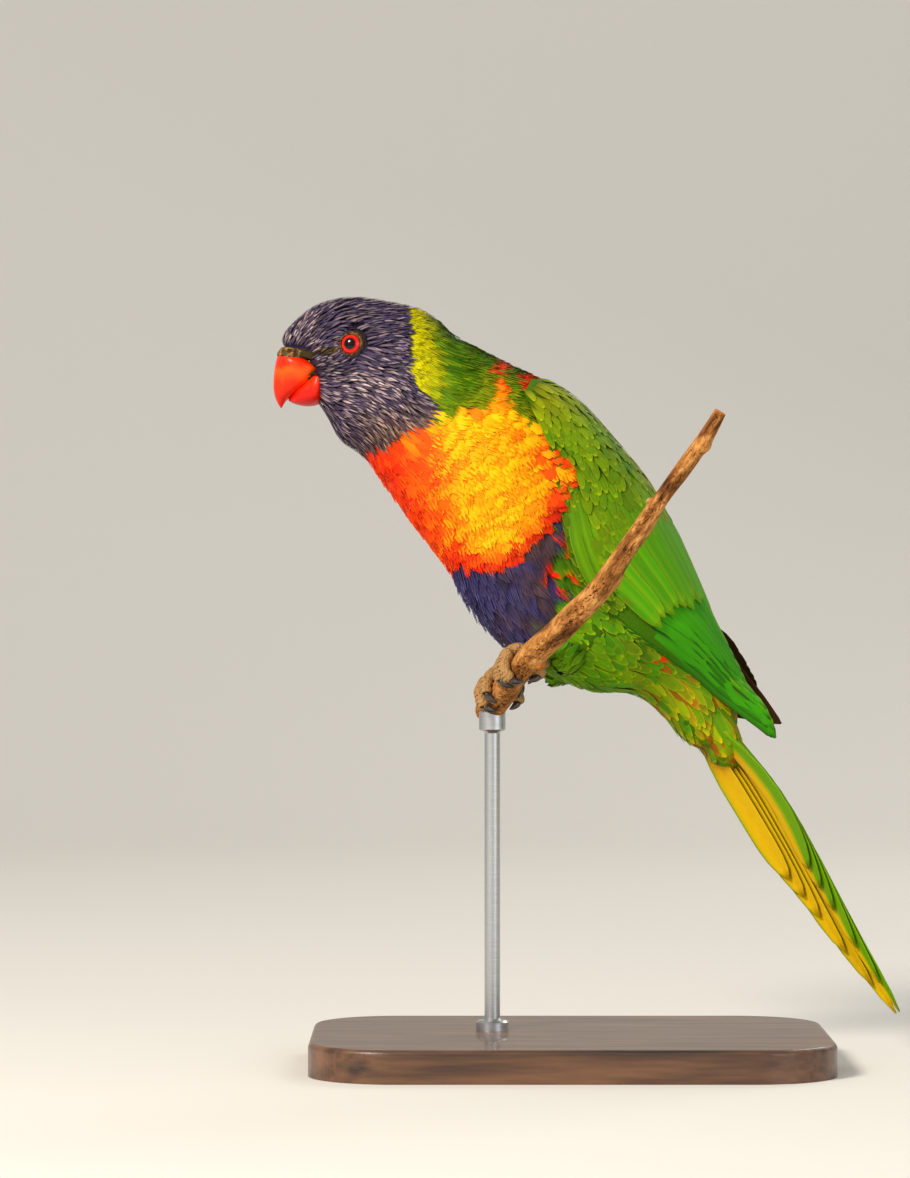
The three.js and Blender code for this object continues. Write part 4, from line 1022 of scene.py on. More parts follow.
def makeSkin():
    joined = bmesh.new()
    for name in skin["nodes"]:
        joined.from_mesh(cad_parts[name].data)
    bmesh.ops.remove_doubles(joined, verts=joined.verts, dist=1e-6)
    piece = objectOf("skin", joined)
    at, normal = remeshed(piece, skin["voxel"], skin["relax"], skin["swell"])
    # the nearest place on the body gives the marking and the coat's depth
    places = np.meshgrid(np.arange(0, 21.01, 0.1), np.arange(-180, 180, 2.5), indexing="ij")
    place, degrees = (grid.ravel() for grid in places)
    tree = kdtree.KDTree(len(place))
    for i, p in enumerate(bodyPoint(place, degrees)):
        tree.insert(p, i)
    tree.balance()
    nearest = np.array([tree.find(p)[1] for p in at])
    place, degrees = place[nearest], degrees[nearest]
    view = sideView(place, degrees)
    main = plumageAt(view, folded(degrees), ragged=0.3)[1]
    bare = bareAt(at)
    depth = np.where(bare, skin["bareDepth"], blend(coat["faceDepth"], coat["depth"], pastFace(view[:, 0])))
    depth = np.where(underBill(at), skin["billDepth"], depth)
    at = at - normal * (depth + skin["swell"])[:, None]
    away = at[:, [0, 2]] - skin["foreheadMiddle"]
    sink = np.array(skin["foreheadSink"], float)
    turn = np.degrees(np.arctan2(away[:, 1], away[:, 0]))
    share = np.clip(0.4 + 0.7 * np.linalg.norm(away, axis=1) / skin["foreheadReach"], 0, 1.1)
    at[:, [0, 2]] += share[:, None] * lookUp(turn, sink[:, 0], sink[:, 1:])
    moveTo(piece, at)
    # the skin under the coat takes the plumage's colour at half brightness, painted shade for the coat's
    # depths; bare skin keeps its own colour
    paintPoints(piece.data, np.where(bare[:, None], palette["bare"], main * 0.5))
    return piece


skinFinish = skinMaterial()
skinPiece = makeSkin()
finishPiece(skinPiece, skinFinish, "feathers_violet", *skin["nodes"])
print("skin", len(skinPiece.data.polygons))

# The bill: an upper half with a hooked tip and a lower half that closes inside its edge. The tones run
# from low to high: darker red low down is painted shade and the bright orange band high on the upper half a
# painted highlight, over the bill's own orange red and its pale tan tip.
bill = {
    "upper": {
        "rows": [
            (-75.6, 212.4, -86.8, 218.8, 0, 4.4, 4), (-76.8, 211.2, -88.9, 217.0, 0, 7.3, 4),
            (-79.4, 208.3, -90.1, 212.6, 0, 6.7, 4), (-82.3, 205.9, -90.5, 208.2, 0, 5.2, 4),
            (-85.2, 203.9, -90.2, 204.6, 0, 3.5, 4), (-87.0, 202.0, -89.3, 202.1, 0, 1.7, 4),
            (-88.0, 200.3, -88.2, 200.3, 0, 0.2, 4),
        ],
        "boxed": -1, "low": 200, "high": 217,
        "tone": [(0.06, srgb(190, 104, 40)), (0.24, srgb(206, 20, 0)), (0.6, srgb(240, 40, 0)),
                 (0.85, srgb(255, 86, 0)), (1.0, srgb(236, 40, 0))],
    },
    "lower": {
        "rows": [
            (-74.9, 202.6, -74.9, 211.6, 0, 4.6, 4), (-77.2, 201.3, -76.5, 212.3, 0, 6.7, 4),
            (-80.3, 200.9, -79.5, 209.6, 0, 5.7, 4), (-83.6, 201.5, -82.7, 206.9, 0, 3.9, 4),
            (-86.0, 202.6, -85.6, 204.4, 0, 0.8, 4),
        ],
        "boxed": 1, "low": 200, "high": 211,
        "tone": [(0.1, srgb(168, 6, 0)), (0.6, srgb(222, 18, 0)), (1.0, srgb(242, 44, 0))],
    },
}


def billMaterial(name, low, high, tone):
    look = Finish(name, 0.34, coat=0.12, gloss=0.2, specular=0.2)
    height = look.add("SeparateXYZ", {"Vector": look.place()})["Z"]
    # tones by height: painted shade low down and a painted highlight high up, with the horn's own blotches
    share = look.math("MULTIPLY_ADD", look.noise(260, 3), 0.35, look.span(height, low * mm, high * mm))
    lines = look.noise(700, 3, {"Rotation": (0, 0.6, 0), "Scale": (1.6, 1.6, 0.3)})
    rough = look.span(look.noise(900), 0.3, 0.7, 0.24, 0.42)
    return look.done(look.stops(share, tone), (lines, 0.25, 0.0002), Roughness=rough)


for half, part in bill.items():
    horn = billMaterial(half + "BillHorn", part["low"], part["high"], part["tone"])
    halfPiece = objectOf(half + "Bill", runBall(part["rows"], 72, 64, boxed=part["boxed"]))
    finishPiece(halfPiece, horn, "bill", "bill_" + half)


# The bare band over the bill, with its nostrils.
cere = {
    "rows": [
        (-80.8, 218.2, -85.9, 219.1, 0, 1.5, 4), (-79.8, 217.6, -87.9, 218.8, 0, 5.8, 4),
        (-79.5, 216.4, -88.9, 217.6, 0, 6.6, 4), (-79.8, 215.0, -89.3, 216.2, 0, 6.5, 4),
        (-81.0, 214.4, -88.2, 215.2, 0, 4.5, 4),
    ],
    "nostrilPlace": 1.75, "nostrilTurn": 14, "nostril": 0.75, "depth": 1.1, "wrinkle": 0.14, "rim": 0.22,
}


def cereShape(at, middle):
    outward = unit(at - middle)
    at = at + outward * (cere["wrinkle"] * waves(at, 1.4, 4))[:, None]
    for degrees in (cere["nostrilTurn"], 180 - cere["nostrilTurn"]):
        hole = runPoint(cere["rows"], cere["nostrilPlace"], degrees)
        away = np.linalg.norm((at - hole) * np.array([0.8, 1, 1]), axis=1)
        dent = hill(away, cere["nostril"], 4) * cere["depth"]
        rim = cere["rim"] * hill(away - 1.35 * cere["nostril"], 0.4)
        at = at + outward * (rim - dent)[:, None]
    return at


def bareMaterial(name, light):
    look = Finish(name, 0.55, specular=0.3)
    tones = ((0.32, srgb(26, 17, 8)), (0.48, srgb(92, 67, 28)), (0.64, srgb(176, 136, 68)))
    lit = [(position, tone * light) for position, tone in tones]
    return look.done(look.stops(look.noise(900), lit), (look.cells(2600.0), 0.8, 0.0003))


cerePiece = objectOf("cere", runBall(cere["rows"], 120, 80, cereShape))
finishPiece(cerePiece, bareMaterial("bareSkin", 1.0), "feathers_violet")


# The eyes: balls with a red iris, and rings of bare skin for lids. The iris has tones from its middle out.
iris = {
    "reach": 0.0034, "streaks": 0.07, "fibres": (9.0, 500.0, 1.0),
    "tone": [
        (0.0, (0.002, 0.002, 0.002)), (0.5, (0.002, 0.002, 0.002)), (0.54, srgb(110, 6, 2)),
        (0.64, srgb(214, 18, 6)), (0.8, srgb(232, 30, 12)), (0.88, srgb(120, 8, 4)), (0.93, srgb(14, 6, 4)),
    ],
}
lids = {
    "profile": [(2.75, -0.9), (2.84, -0.1), (2.96, 0.2), (3.2, 0.34), (3.5, 0.3), (3.85, 0.0), (4.2, -0.6),
                (3.4, -1.2)],
    "around": 72, "folds": 0.12,
}


def alongAxis(direction):
    return Vector((0, 0, 1)).rotation_difference(Vector(direction))


def eyeBall(name, direction, centre):
    shape = ballOf(72, 64, eye["radius"] * mm)
    for vertex in shape.verts:
        # the cornea stands a little proud
        vertex.co *= 1 + 0.05 * float(ramp(0.72, 1.0, vertex.co.z / (eye["radius"] * mm)))
    moveBy(shape, centre, alongAxis(direction).to_matrix())
    return objectOf(name, shape)


def eyeMaterial(name, direction, centre):
    look = Finish(name, 0.3, coat=0.45, gloss=0.02, specular=0.05)
    atMiddle = look.moved(look.place(), {"Location": Vector(centre) * -mm})
    turned = look.moved(atMiddle, {"Rotation": alongAxis(direction).inverted().to_euler()})
    parts = look.add("SeparateXYZ", {"Vector": turned})
    flat = look.add("CombineXYZ", {"X": parts["X"], "Y": parts["Y"]})[0]
    radius = look.add("VectorMath", {0: flat}, operation="LENGTH")["Value"]
    spokes = look.add("CombineXYZ", {"X": look.math("ARCTAN2", parts["Y"], parts["X"]), "Y": radius})[0]
    streaks = look.noise(1.0, 3.0, {"Scale": iris["fibres"]}, spokes)
    share = look.math("MULTIPLY_ADD", streaks, iris["streaks"], look.span(radius, 0.0, iris["reach"]))
    return look.done(look.stops(share, iris["tone"]), (streaks, 0.08, 0.0001))


def lidRing(name, direction, lid):
    shape = spun(lids["profile"], 0, 0, lids["around"], closed=True)
    for vertex in shape.verts:
        # small folds round it
        a = math.atan2(vertex.co.y, vertex.co.x)
        vertex.co.z += lids["folds"] * mm * math.sin(19 * a + 2 * math.sin(3 * a)) * (vertex.co.z > 0)
    moveBy(shape, lid, alongAxis(direction).to_matrix())
    piece = objectOf(name, shape)
    finer = piece.modifiers.new("finer", "SUBSURF")
    finer.levels = finer.render_levels = 1
    return piece


lidFinish = bareMaterial("lidSkin", 0.4)
for left, word in bothSides:
    direction, lid, centre = eyeFrame(left)
    ballPiece = eyeBall("eyeBall" + word, direction, centre)
    finishPiece(ballPiece, eyeMaterial("iris" + word, direction, centre), "eye", "eye_" + word.lower())
    finishPiece(lidRing("lid" + word, direction, lid), lidFinish, "feathers_violet")
print("bill, cere and eyes")


# The wings: a pad that follows the sheet, flight feathers, rows of coverts and small shoulder feathers.
wingPad = {"rise": (0.1, -0.4), "inner": (6.2, 1.8), "brownFrom": 30, "brownTo": 42}


def padPiece(name, left):
    def place(down, turn, pole):
        a = np.radians(turn)
        rise = np.sin(a)
        lift = np.where(rise > 0, blend(*wingPad["rise"], down), blend(*wingPad["inner"], down)) * rise
        return np.where(pole, wingPoint(left, down, 0.5), wingPoint(left, down, 0.5 + 0.5 * np.cos(a), lift))

    piece = objectOf(name, shapedBall(40, 60, place))
    brown = ramp(wingPad["brownFrom"], wingPad["brownTo"], cornersOf(piece)[:, 0])
    # green, turning brown towards the back, both at 0.7 brightness: the darkening is painted shade under the
    # feathers
    paintPoints(piece.data, mixed(palette["green"] * 0.7, palette["brown"] * 0.7, brown))
    return piece


# Each tier: how many, half widths towards and away from the leading edge, places of roots and tips on the
# sheet for t from 0 at the leading edge to 1 at the back, lifts at root, middle and tip, tilt, how each
# varies, and how much its green is that of the primaries.
tiers = {
    "primaries": {
        "count": 10, "half": (2.6, 3.6), "tilt": 9, "taper": 0.66, "bend": 1.5, "vary": 0.005,
        "root": lambda t: (0.42 + 0 * t, 0.01 + 0.73 * t),
        "tip": lambda t: (1 - 0.3 * t, 0.9 - 0.47 * (1 - t) ** 3),
        "lifts": lambda t: (-1.2 + 0 * t, 0.2 + 1.9 * t, 0.4 + 2.1 * t),
    },
    "secondaries": {
        "count": 11, "half": (2.6, 2.8), "tilt": 7, "taper": 0.72, "bend": 1.0, "vary": 0.012, "green": 0.8,
        "root": lambda t: (0.2 + 0 * t, 0.14 + 0.78 * t),
        "tip": lambda t: (0.52 + 0.07 * t, 0.16 + 0.78 * t),
        "lifts": lambda t: (-1.0 + 0 * t, 0.9 + 0.3 * t, 1.5 + 0.9 * t),
    },
    "greaterCoverts": {
        "count": 17, "half": (1.9, 2.1), "tilt": 5, "taper": 0.55, "bend": 1.0, "vary": 0.012, "green": 0.42,
        "root": lambda t: (0.14 + 0 * t, 0.06 + 0.9 * t),
        "tip": lambda t: (0.42 + 0.03 * t, 0.05 + 0.92 * t),
        "lifts": lambda t: (-0.8 + 0 * t, 0.8 + 0 * t, 1.25 + 0 * t),
    },
}
vaneRows = np.array([0, 0.08, 0.2, 0.34, 0.5, 0.64, 0.76, 0.86, 0.94, 1.0])
vaneColumns = [-1, -0.84, -0.5, -0.08, 0.08, 0.5, 0.84, 1]


# A long feather's form, with a shaft that stands proud. Past its taper it narrows to a round tip.
def vaneForm(shape, shaft):
    form = bladeForm(vaneRows, vaneColumns, shape, closed=True)
    form["lift"] = np.where(np.abs(form["w"]) < 0.1, shaft, 0.0)
    return form


def pastTaper(taper):
    return np.clip((vaneRows - taper) / (1 - taper), 0, 1)


def wingVanes(left, tier, random):
    t = np.linspace(0, 1, tier["count"])
    jitter = random.normal(size=(len(t), 1)) * tier["vary"]
    (rootA, rootC), (tipA, tipC) = ([x[:, None] for x in tier[end](t)] for end in ("root", "tip"))
    along = blend(rootA, tipA + jitter, vaneRows[None])
    across = blend(rootC, tipC, vaneRows[None] ** tier["bend"])
    a, b, c = (x[:, None] for x in tier["lifts"](t))
    kink = 0.45
    past = (vaneRows - kink) / (1 - kink)
    lift = np.where(vaneRows < kink, blend(a, b, vaneRows / kink), blend(b, c, past))
    at = wingPoint(left, along, across, lift)
    ahead = unit(wingPoint(left, along + 0.005, across) - wingPoint(left, along - 0.005, across))
    out = unit(wingPoint(left, along, across, 1.0) - wingPoint(left, along, across))
    side = np.cross(out, ahead) * (-1 if left else 1)
    turn = math.radians(tier["tilt"])
    return at, side * math.cos(turn) - out * math.sin(turn), out * math.cos(turn) + side * math.sin(turn), t


def vaneColours(tier, form, t, random):
    s, w, under = form["s"][None], form["w"][None], form["under"][None]
    tone = random.uniform(0.85, 1.12, (len(t), 1))
    if "green" in tier:
        rim = np.clip(ramp(0.88, 1.0, s) * 0.5 + ramp(0.8, 1.0, np.abs(w)) * 0.8, 0, 1)
        shaft = 0.22 * (np.abs(w) < 0.1) * ramp(0.2, 0.5, s)
        pale = np.clip(rim + shaft, 0, 1) * random.uniform(0.3, 0.9, (len(t), 1))
        colours = mixed(mixed(palette["wing"], palette["primary"], tier["green"]), palette["greenPale"], pale)
        # the inner web is darker, its own colour, and the covered root darker still, which is painted shade
        inner = ramp(0.3, 0.8, w) * 0.35 + ramp(0.6, 0.1, s) * 0.4
        colours = mixed(colours, palette["greenDeep"] * np.array([0.7, 0.9, 0.9]), inner * (1 - 0.7 * rim))
        colours = mixed(colours, srgb(90, 90, 70), under * 0.8)
    else:
        # green outer webs with a thin dark rim, painted shade for the gaps between feathers, dull inner ones,
        # and a near black leading edge
        dark = np.clip(0.7 * ramp(0.25, 0.8, w) + 0.9 * ramp(-0.84, -0.98, w), 0, 1)
        dark = np.maximum(dark, (t[:, None] < 0.01) * ramp(-0.4, -0.8, w))
        base = mixed(palette["primary"], palette["greenPale"], 0.3 * ramp(-0.4, -0.8, w) * ramp(0.3, 0.6, s))
        colours = mixed(mixed(base, srgb(10, 22, 4), dark * 0.8), palette["brown"], under * 0.95)
    return np.clip(colours * tone[..., None], 0, 1)


# Middles of cells in the bake map, each a large feather's own.
def bakeCell(index, across):
    return np.stack([(index % across + 0.5) / across, (index // across + 0.5) / across], 1)


def wingFeathers(name, left, seed):
    random = np.random.default_rng(seed)
    batches, cell = [], 0
    for tier in tiers.values():
        at, side, out, t = wingVanes(left, tier, random)
        tip = np.maximum(0.1, np.sqrt(1 - pastTaper(tier["taper"])**2.2))
        form = vaneForm(np.minimum(1, 0.35 + 2.6 * vaneRows) * tip, 0.05)
        colours = vaneColours(tier, form, t, random)
        half = np.array(tier["half"]) * random.uniform(0.94, 1.06, (len(t), 1))
        bake = bakeCell(cell + np.arange(len(t)), 8)
        cell += len(t)
        batches.append(layFeathers(at, side, out, half, form, colours, bake, bakeSize=0.11, arch=0.07,
                                   thick=0.22))
    return featherPiece(name, batches)


# Small feathers over the shoulder and along the leading edge, longer towards the flight feathers.
shoulder = {
    "spacing": (1.5, 2.3), "length": (6.5, 12.0), "half": (1.25, 1.9), "edgeSpacing": 1.5, "edgeLength": 6.5,
    "edgeHalf": 1.1, "reach": 0.38, "edge": 0.13, "edgeReach": 0.42, "seed": 81,
}
scaleForm = bladeForm([0, 0.25, 0.5, 0.7, 0.86, 1.0], [-1, -0.8, -0.4, 0, 0.4, 0.8, 1],
                      [0.4, 0.85, 1.0, 0.94, 0.72, 0.3])


def shoulderFeathers(name, left, seed):
    def surface(u, v, lift=0.0):
        return wingPoint(left, u, v, lift)

    def grown(key, u):
        return blend(*shoulder[key], ramp(0.0, shoulder["reach"], u))

    def spacing(u, v):
        edge = (v < shoulder["edge"]) & (u < shoulder["edgeReach"])
        gap = np.where(edge, shoulder["edgeSpacing"], grown("spacing", u))
        return np.where((u < shoulder["reach"] + 0.04 * v) | edge, gap, -1)

    u, v = scatter(surface, (0.006, 0.55), (0.0, 1.0), spacing, shoulder["seed"], cells=(90, 60))
    random = np.random.default_rng(seed)
    count = len(u)
    onEdge = (v < shoulder["edge"]) & (u > 0.1)
    length = np.where(onEdge, shoulder["edgeLength"], grown("length", u)) * random.uniform(0.85, 1.15, count)
    half = np.where(onEdge, shoulder["edgeHalf"], grown("half", u)) * random.uniform(0.85, 1.15, count)
    turn = random.normal(size=count) * 0.1
    low = np.where(onEdge, 0.7, 0.0)
    at, side, out = layOn(surface, u, v, (0.004, 0.01), turn, length, (-0.4 - low, 0.85 - low, 1.15 - low))
    s, w = scaleForm["s"][None], scaleForm["w"][None]
    cloud = waves(surface(u, v), 12, 15)
    yellower = np.clip(0.6 + 0.4 * cloud + 0.15 * random.normal(size=count), 0, 1)
    main = mixed(palette["green"], palette["wing"], yellower)
    olive = np.maximum(ramp(0.72, 0.92, v), ramp(0.12, 0.02, u)) * ramp(-0.6, 0.4, cloud + 0.5)
    main = mixed(main, palette["olive"], 0.8 * olive)
    main = mixed(main, palette["greenDeep"], 0.5 * ramp(0.16, 0.02, v) * (u > 0.1))
    shaft = 0.25 * (np.abs(w) < 0.1) * ramp(0.3, 0.6, s)
    rim = np.clip(ramp(0.84, 1.0, s) + ramp(0.75, 1.0, np.abs(w)) + shaft, 0, 1)
    pale = rim * random.uniform(0.05, 0.95, (count, 1)) ** 1.2
    shade = random.uniform(0.8, 1.12, (count, 1)) * (0.5 + 0.5 * ramp(0.1, 0.7, s))
    colours = np.clip(mixed(main[:, None], palette["greenPale"], pale) * shade[..., None], 0, 1)
    bake = np.stack([0.02 + 0.96 * u / 0.56, 0.02 + 0.96 * v], 1)
    return featherPiece(name, [layFeathers(at, side, out, half, scaleForm, colours, bake, arch=0.05)])


for left, word in bothSides:
    finishPiece(padPiece("wingPad" + word, left), skinFinish, "feathers_green", "wing_" + word.lower())
    finishPiece(wingFeathers("wingFeathers" + word, left, 31 + left), vanePlumage, "feathers_green")
    finishPiece(shoulderFeathers("shoulderFeathers" + word, left, 41 + left), softPlumage, "feathers_green")


def tailColours(form, handed, tone):
    s, w, under = form["s"], form["w"], form["under"]
    bright = 0.35 * ramp(0.7, 1.0, w) + 0.25 * ramp(0.6, 1.0, s)
    upper = mixed(palette["green"] * 0.75, palette["greenPale"] * 0.8, bright)
    yellow = mixed(srgb(228, 184, 4), srgb(196, 112, 6), ramp(0.4, 0.0, s) * 0.8)
    # seen from below, the left feathers show broad green outer webs
    web = ramp(-0.5, -0.25, w) if handed > 0 else ramp(0.78, 0.94, w)
    lower = mixed(yellow, mixed(palette["primary"], palette["greenPale"], 0.3), web)
    # a faint dark rim at the inner web's edge, painted shade for the gaps between the stacked feathers
    lower = mixed(lower, srgb(60, 44, 8), 0.05 * ramp(-0.84, -1.0, w))
    return np.clip(np.where(under[:, None] > 0.5, lower, upper) * tone, 0, 1)[None]


def tailFeathers():
    random = np.random.default_rng(tail["seed"])
    roof = math.radians(tail["roof"])
    form = vaneForm(np.ones(len(vaneRows)), 0.04)
    batches = []
    for layer, (short, root, bulge, tip, half, taper) in enumerate(tail["pairs"]):
        for handed in (1, -1):
            side = tailLeft * handed * math.cos(roof) - tailUp * math.sin(roof)
            out = tailUp * math.cos(roof) + tailLeft * handed * math.sin(roof)
            wide = bulge * (1.0 if handed > 0 else tail["rightBulge"])
            sideways = blend(root, tip, vaneRows) + wide * 4 * vaneRows * (1 - vaneRows)
            at = lookUp(vaneRows * (tailRun[-1] - short), tailRun, tailLine) + side * sideways[:, None]
            at = at - tailUp * (tail["pitch"] * layer + tail["rightDrop"] * (handed < 0))
            tipShape = np.maximum(0.06, np.sqrt(1 - pastTaper(taper)**2))
            full = half * np.minimum(1, 0.5 + 1.8 * vaneRows) * tipShape
            # the inner web reaches just over the middle
            inner = np.minimum(full, sideways + 0.5)
            # widths change along each web, so they are put in the form's own w
            w = form["w"] * np.where(form["w"] < 0, inner[form["row"]], full[form["row"]]) / half
            colours = tailColours(form, handed, random.uniform(0.9, 1.08))
            way = [np.tile(part, (1, len(vaneRows), 1)) for part in (side, out)]
            bake = bakeCell(np.array([len(batches)]), 4)
            batches.append(layFeathers(at[None], *way, np.array([half]), dict(form, w=w), colours, bake,
                                       bakeSize=0.22, arch=0.06, thick=0.3))
    return featherPiece("tailFeathers", batches)


finishPiece(tailFeathers(), vanePlumage, "feathers_green", "tail")
rootPiece = objectOf("tailRoot", runBall(tailRows, 40, 40, lambda at, middle: middle + (at - middle) * 0.9))
# painted deep green, as painted shade under the coverts
paintPoints(rootPiece.data, palette["greenDeep"])
finishPiece(rootPiece, skinFinish, "feathers_green")
print("wings and tail")


# The twig: a cut length with cracked bark, knots and flat ends.
farFoot, nearFoot = np.array([-20.8, 0, 113.2]), np.array([-15.8, -14, 120.3])
alongTwig = unit(nearFoot - farFoot)
twig = {
    "points": [farFoot - 13.5 * alongTwig, farFoot, nearFoot, (-11, -21, 126.4), (-4.2, -27, 132.6),
               (8.4, -35, 145.8), (26, -41.7, 172), (37.8, -45.6, 188.3), (43.2, -47.3, 197.4)],
    "radii": [4.2, 4.1, 3.8, 3.9, 3.5, 3.0, 2.45, 2.5, 1.9],
    # each knot's share of the length, turn, height, width and how bare its wood is
    "knots": [(0.92, 130, 1.5, 2.0, 0.2), (0.75, 20, 1.6, 0.9, 0), (0.56, 200, 0.9, 2.2, 0),
              (0.29, 160, 1.9, 1.7, 1), (0.4, 60, 0.8, 1.8, 0)],
    "relief": 0.5, "cracks": [(1.9, 1.0), (1.0, 0.6)], "around": 150, "along": 520, "cap": 0.04,
    "tone": [(0.25, srgb(58, 28, 9)), (0.5, srgb(112, 66, 24)), (0.75, srgb(160, 102, 44)),
             (1.0, srgb(206, 148, 82))],
    "wood": [(0.3, srgb(176, 92, 24)), (0.7, srgb(214, 130, 50))],
}


# An even line of points along a smooth curve through uneven ones, and its length.
def centripetal(points, count=600):
    points = np.asarray(points, float)
    padded = np.vstack([2 * points[0] - points[1], points, 2 * points[-1] - points[-2]])
    spans = len(points) - 1
    made = []
    for i in range(spans):
        parts = padded[i:i + 4]
        knots = runAlong(parts, 0.5)
        t = np.linspace(knots[1], knots[2], count // spans, endpoint=False)[:, None]
        for first, reach in ((0, 1), (0, 2), (1, 1)):
            parts = [
                blend(a, b, (t - knots[first + j]) / (knots[first + j + reach] - knots[first + j]))
                for j, (a, b) in enumerate(zip(parts[:-1], parts[1:]))
            ]
        made.append(parts[0])
    line = np.vstack([*made, points[-1:]])
    run = runAlong(line)
    return lookUp(np.linspace(0, 1, count) * run[-1], run, line), run[-1]


def perchTwig():
    line, length = centripetal(twig["points"])
    shares = np.linspace(0, 1, len(line))
    radii = curveOf(twig["radii"], shares)
    tangent = unit(np.gradient(line, axis=0))
    first = unit(np.cross(tangent, np.array([0.3, 1.0, 0.2])))
    second = np.cross(tangent, first)

    def place(down, turn, pole):
        # the ball's caps become the flat cut ends
        cap = twig["cap"]
        share = np.clip((down - cap) / (1 - 2 * cap), 0, 1)
        flat = np.minimum(1, np.minimum(down, 1 - down) / cap)
        rim = np.sin(flat * math.pi / 2) ** 0.6
        at, out1, out2 = (lookUp(share, shares, part) for part in (line, first, second))
        a, run = np.radians(turn), share * length
        wrap = np.stack([np.cos(a) * 3.6, np.sin(a) * 3.6, run * 0.36], 1)
        slant = wrap + run[:, None] * np.array([0.12, 0.05, 0])
        cracks = np.zeros(len(down))
        for size, depth in twig["cracks"]:
            field = np.array([noise.fractal(p, 0.8, 2.0, 3) for p in (slant / size + size * 7).tolist()])
            cracks = np.maximum(cracks, depth * hill(field, 0.03))
        relief = -twig["relief"] * cracks + 0.22 * waves(wrap, 7, 53)
        radius = np.interp(share, shares, radii) + relief * np.minimum(1, flat * 4)
        for knotShare, knotTurn, height, width, _ in twig["knots"]:
            gap = np.hypot((share - knotShare) * length, np.radians(centred(turn - knotTurn)) * radius)
            radius = radius + height * (hill(gap, width) - 0.5 * hill(gap, 0.38 * width))
        return at + ringed(out1, out2, turn, radius * rim)

    piece = objectOf("perchBark", shapedBall(twig["around"], twig["along"], place))
    # painted with how high the bark stands, where its wood is bare and the share of the length
    at = cornersOf(piece)
    nearest = np.array([np.argmin(((line - p) ** 2).sum(1)) for p in at])
    high = np.linalg.norm(at - line[nearest], axis=1) - radii[nearest]
    share = shares[nearest]
    cut = ((share < 0.002) | (share > 0.998)).astype(float)
    for knotShare, _, height, width, bare in twig["knots"]:
        close = np.abs(share - knotShare) * length < width
        cut = np.maximum(cut, bare * ramp(0.45 * height, 0.7 * height, high) * close)
    paintPoints(piece.data, np.stack([ramp(-0.5, 0.25, high), cut, share], 1))
    return piece


def barkMaterial():
    look = Finish("twigBark", 0.85, specular=0.25)
    parts = look.add("SeparateColor", {"Color": look.paint()})
    turn = math.atan2(alongTwig[0], alongTwig[2])
    stretch = {"Rotation": (0, turn, 0), "Scale": (1, 1, 3.2)}
    ridges = look.noise(900, 6, place=look.moved(look.place(), stretch, vector_type="TEXTURE"))
    # the painted height darkens the cracks and lightens the ridges: partly the bark's own darker furrows,
    # partly painted shade
    share = look.math("ADD", ridges, look.span(parts["Red"], 0.1, 0.9, -0.15, 0.35))
    tones = {6: look.stops(share, twig["tone"]), 7: look.stops(look.noise(900, 3), twig["wood"])}
    colour = look.add("Mix", {0: parts["Green"], **tones}, data_type="RGBA")[2]
    return look.done(colour, (ridges, 0.9, 0.0008))


finishPiece(perchTwig(), barkMaterial(), "bark", "perch_twig")
print("perch")


# The feet: toes, ball and shank grown together, with scales along the toes, and curved claws. Each toe's
# and claw's turns are degrees round the twig.
gripUp = unit(np.array([0, 0, 1.0]) - alongTwig * alongTwig[2])
gripAhead = np.cross(alongTwig, gripUp)
feet = {
    "palm": (3.9, 4.7, 2.4), "gap": 0.2, "shank": 2.35, "scale": 1.3, "scaleDepth": 0.32, "voxel": 0.2,
    "relax": 4, "toeSink": 0.3, "clawSink": 0.25, "clawGap": 0.7,
    "legs": {
        "left": {"foot": nearFoot, "radius": 3.75, "out": 1, "spread": 1.0, "heel": (-6, -10, 122.8)},
        "right": {"foot": farFoot, "radius": 4.1, "out": -1, "spread": 0.9, "heel": (-8, 8.5, 119)},
    },
    "toes": {
        "front_outer": {"outer": 2.5, "radius": 2.0, "toe": (64, -48), "claw": (-42, -92)},
        "front_inner": {"outer": -2.3, "radius": 1.9, "toe": (64, -24), "claw": (-18, -72)},
        "back_outer": {"outer": 2.5, "radius": 2.0, "toe": (116, 214), "claw": (208, 254)},
        "back_inner": {"outer": -2.3, "radius": 1.8, "toe": (116, 176), "claw": (170, 226)},
    },
    "toeShape": [0.95, 1.06, 0.92, 1.04, 0.9, 1.02, 0.84], "clawRadii": [1.15, 1.2, 1.05, 0.8, 0.5, 0.12],
}


def toeDistance(leg, toe):
    return leg["radius"] + feet["gap"] + toe["radius"]


def arcTube(leg, toe, turns, distances, radii, around, rings):
    turns = [90 + (degrees - 90) * leg["spread"] for degrees in turns]
    middle = leg["foot"] + alongTwig * toe["outer"] * leg["out"]

    def place(down, turn, pole):
        outward = ringed(gripAhead, gripUp, blend(*turns, down), 1)
        radius = curveOf(radii, down) * roundEnds(down, 0.07)
        return middle + outward * blend(*distances, down)[:, None] + ringed(outward, alongTwig, turn, radius)

    return shapedBall(around, rings, place)


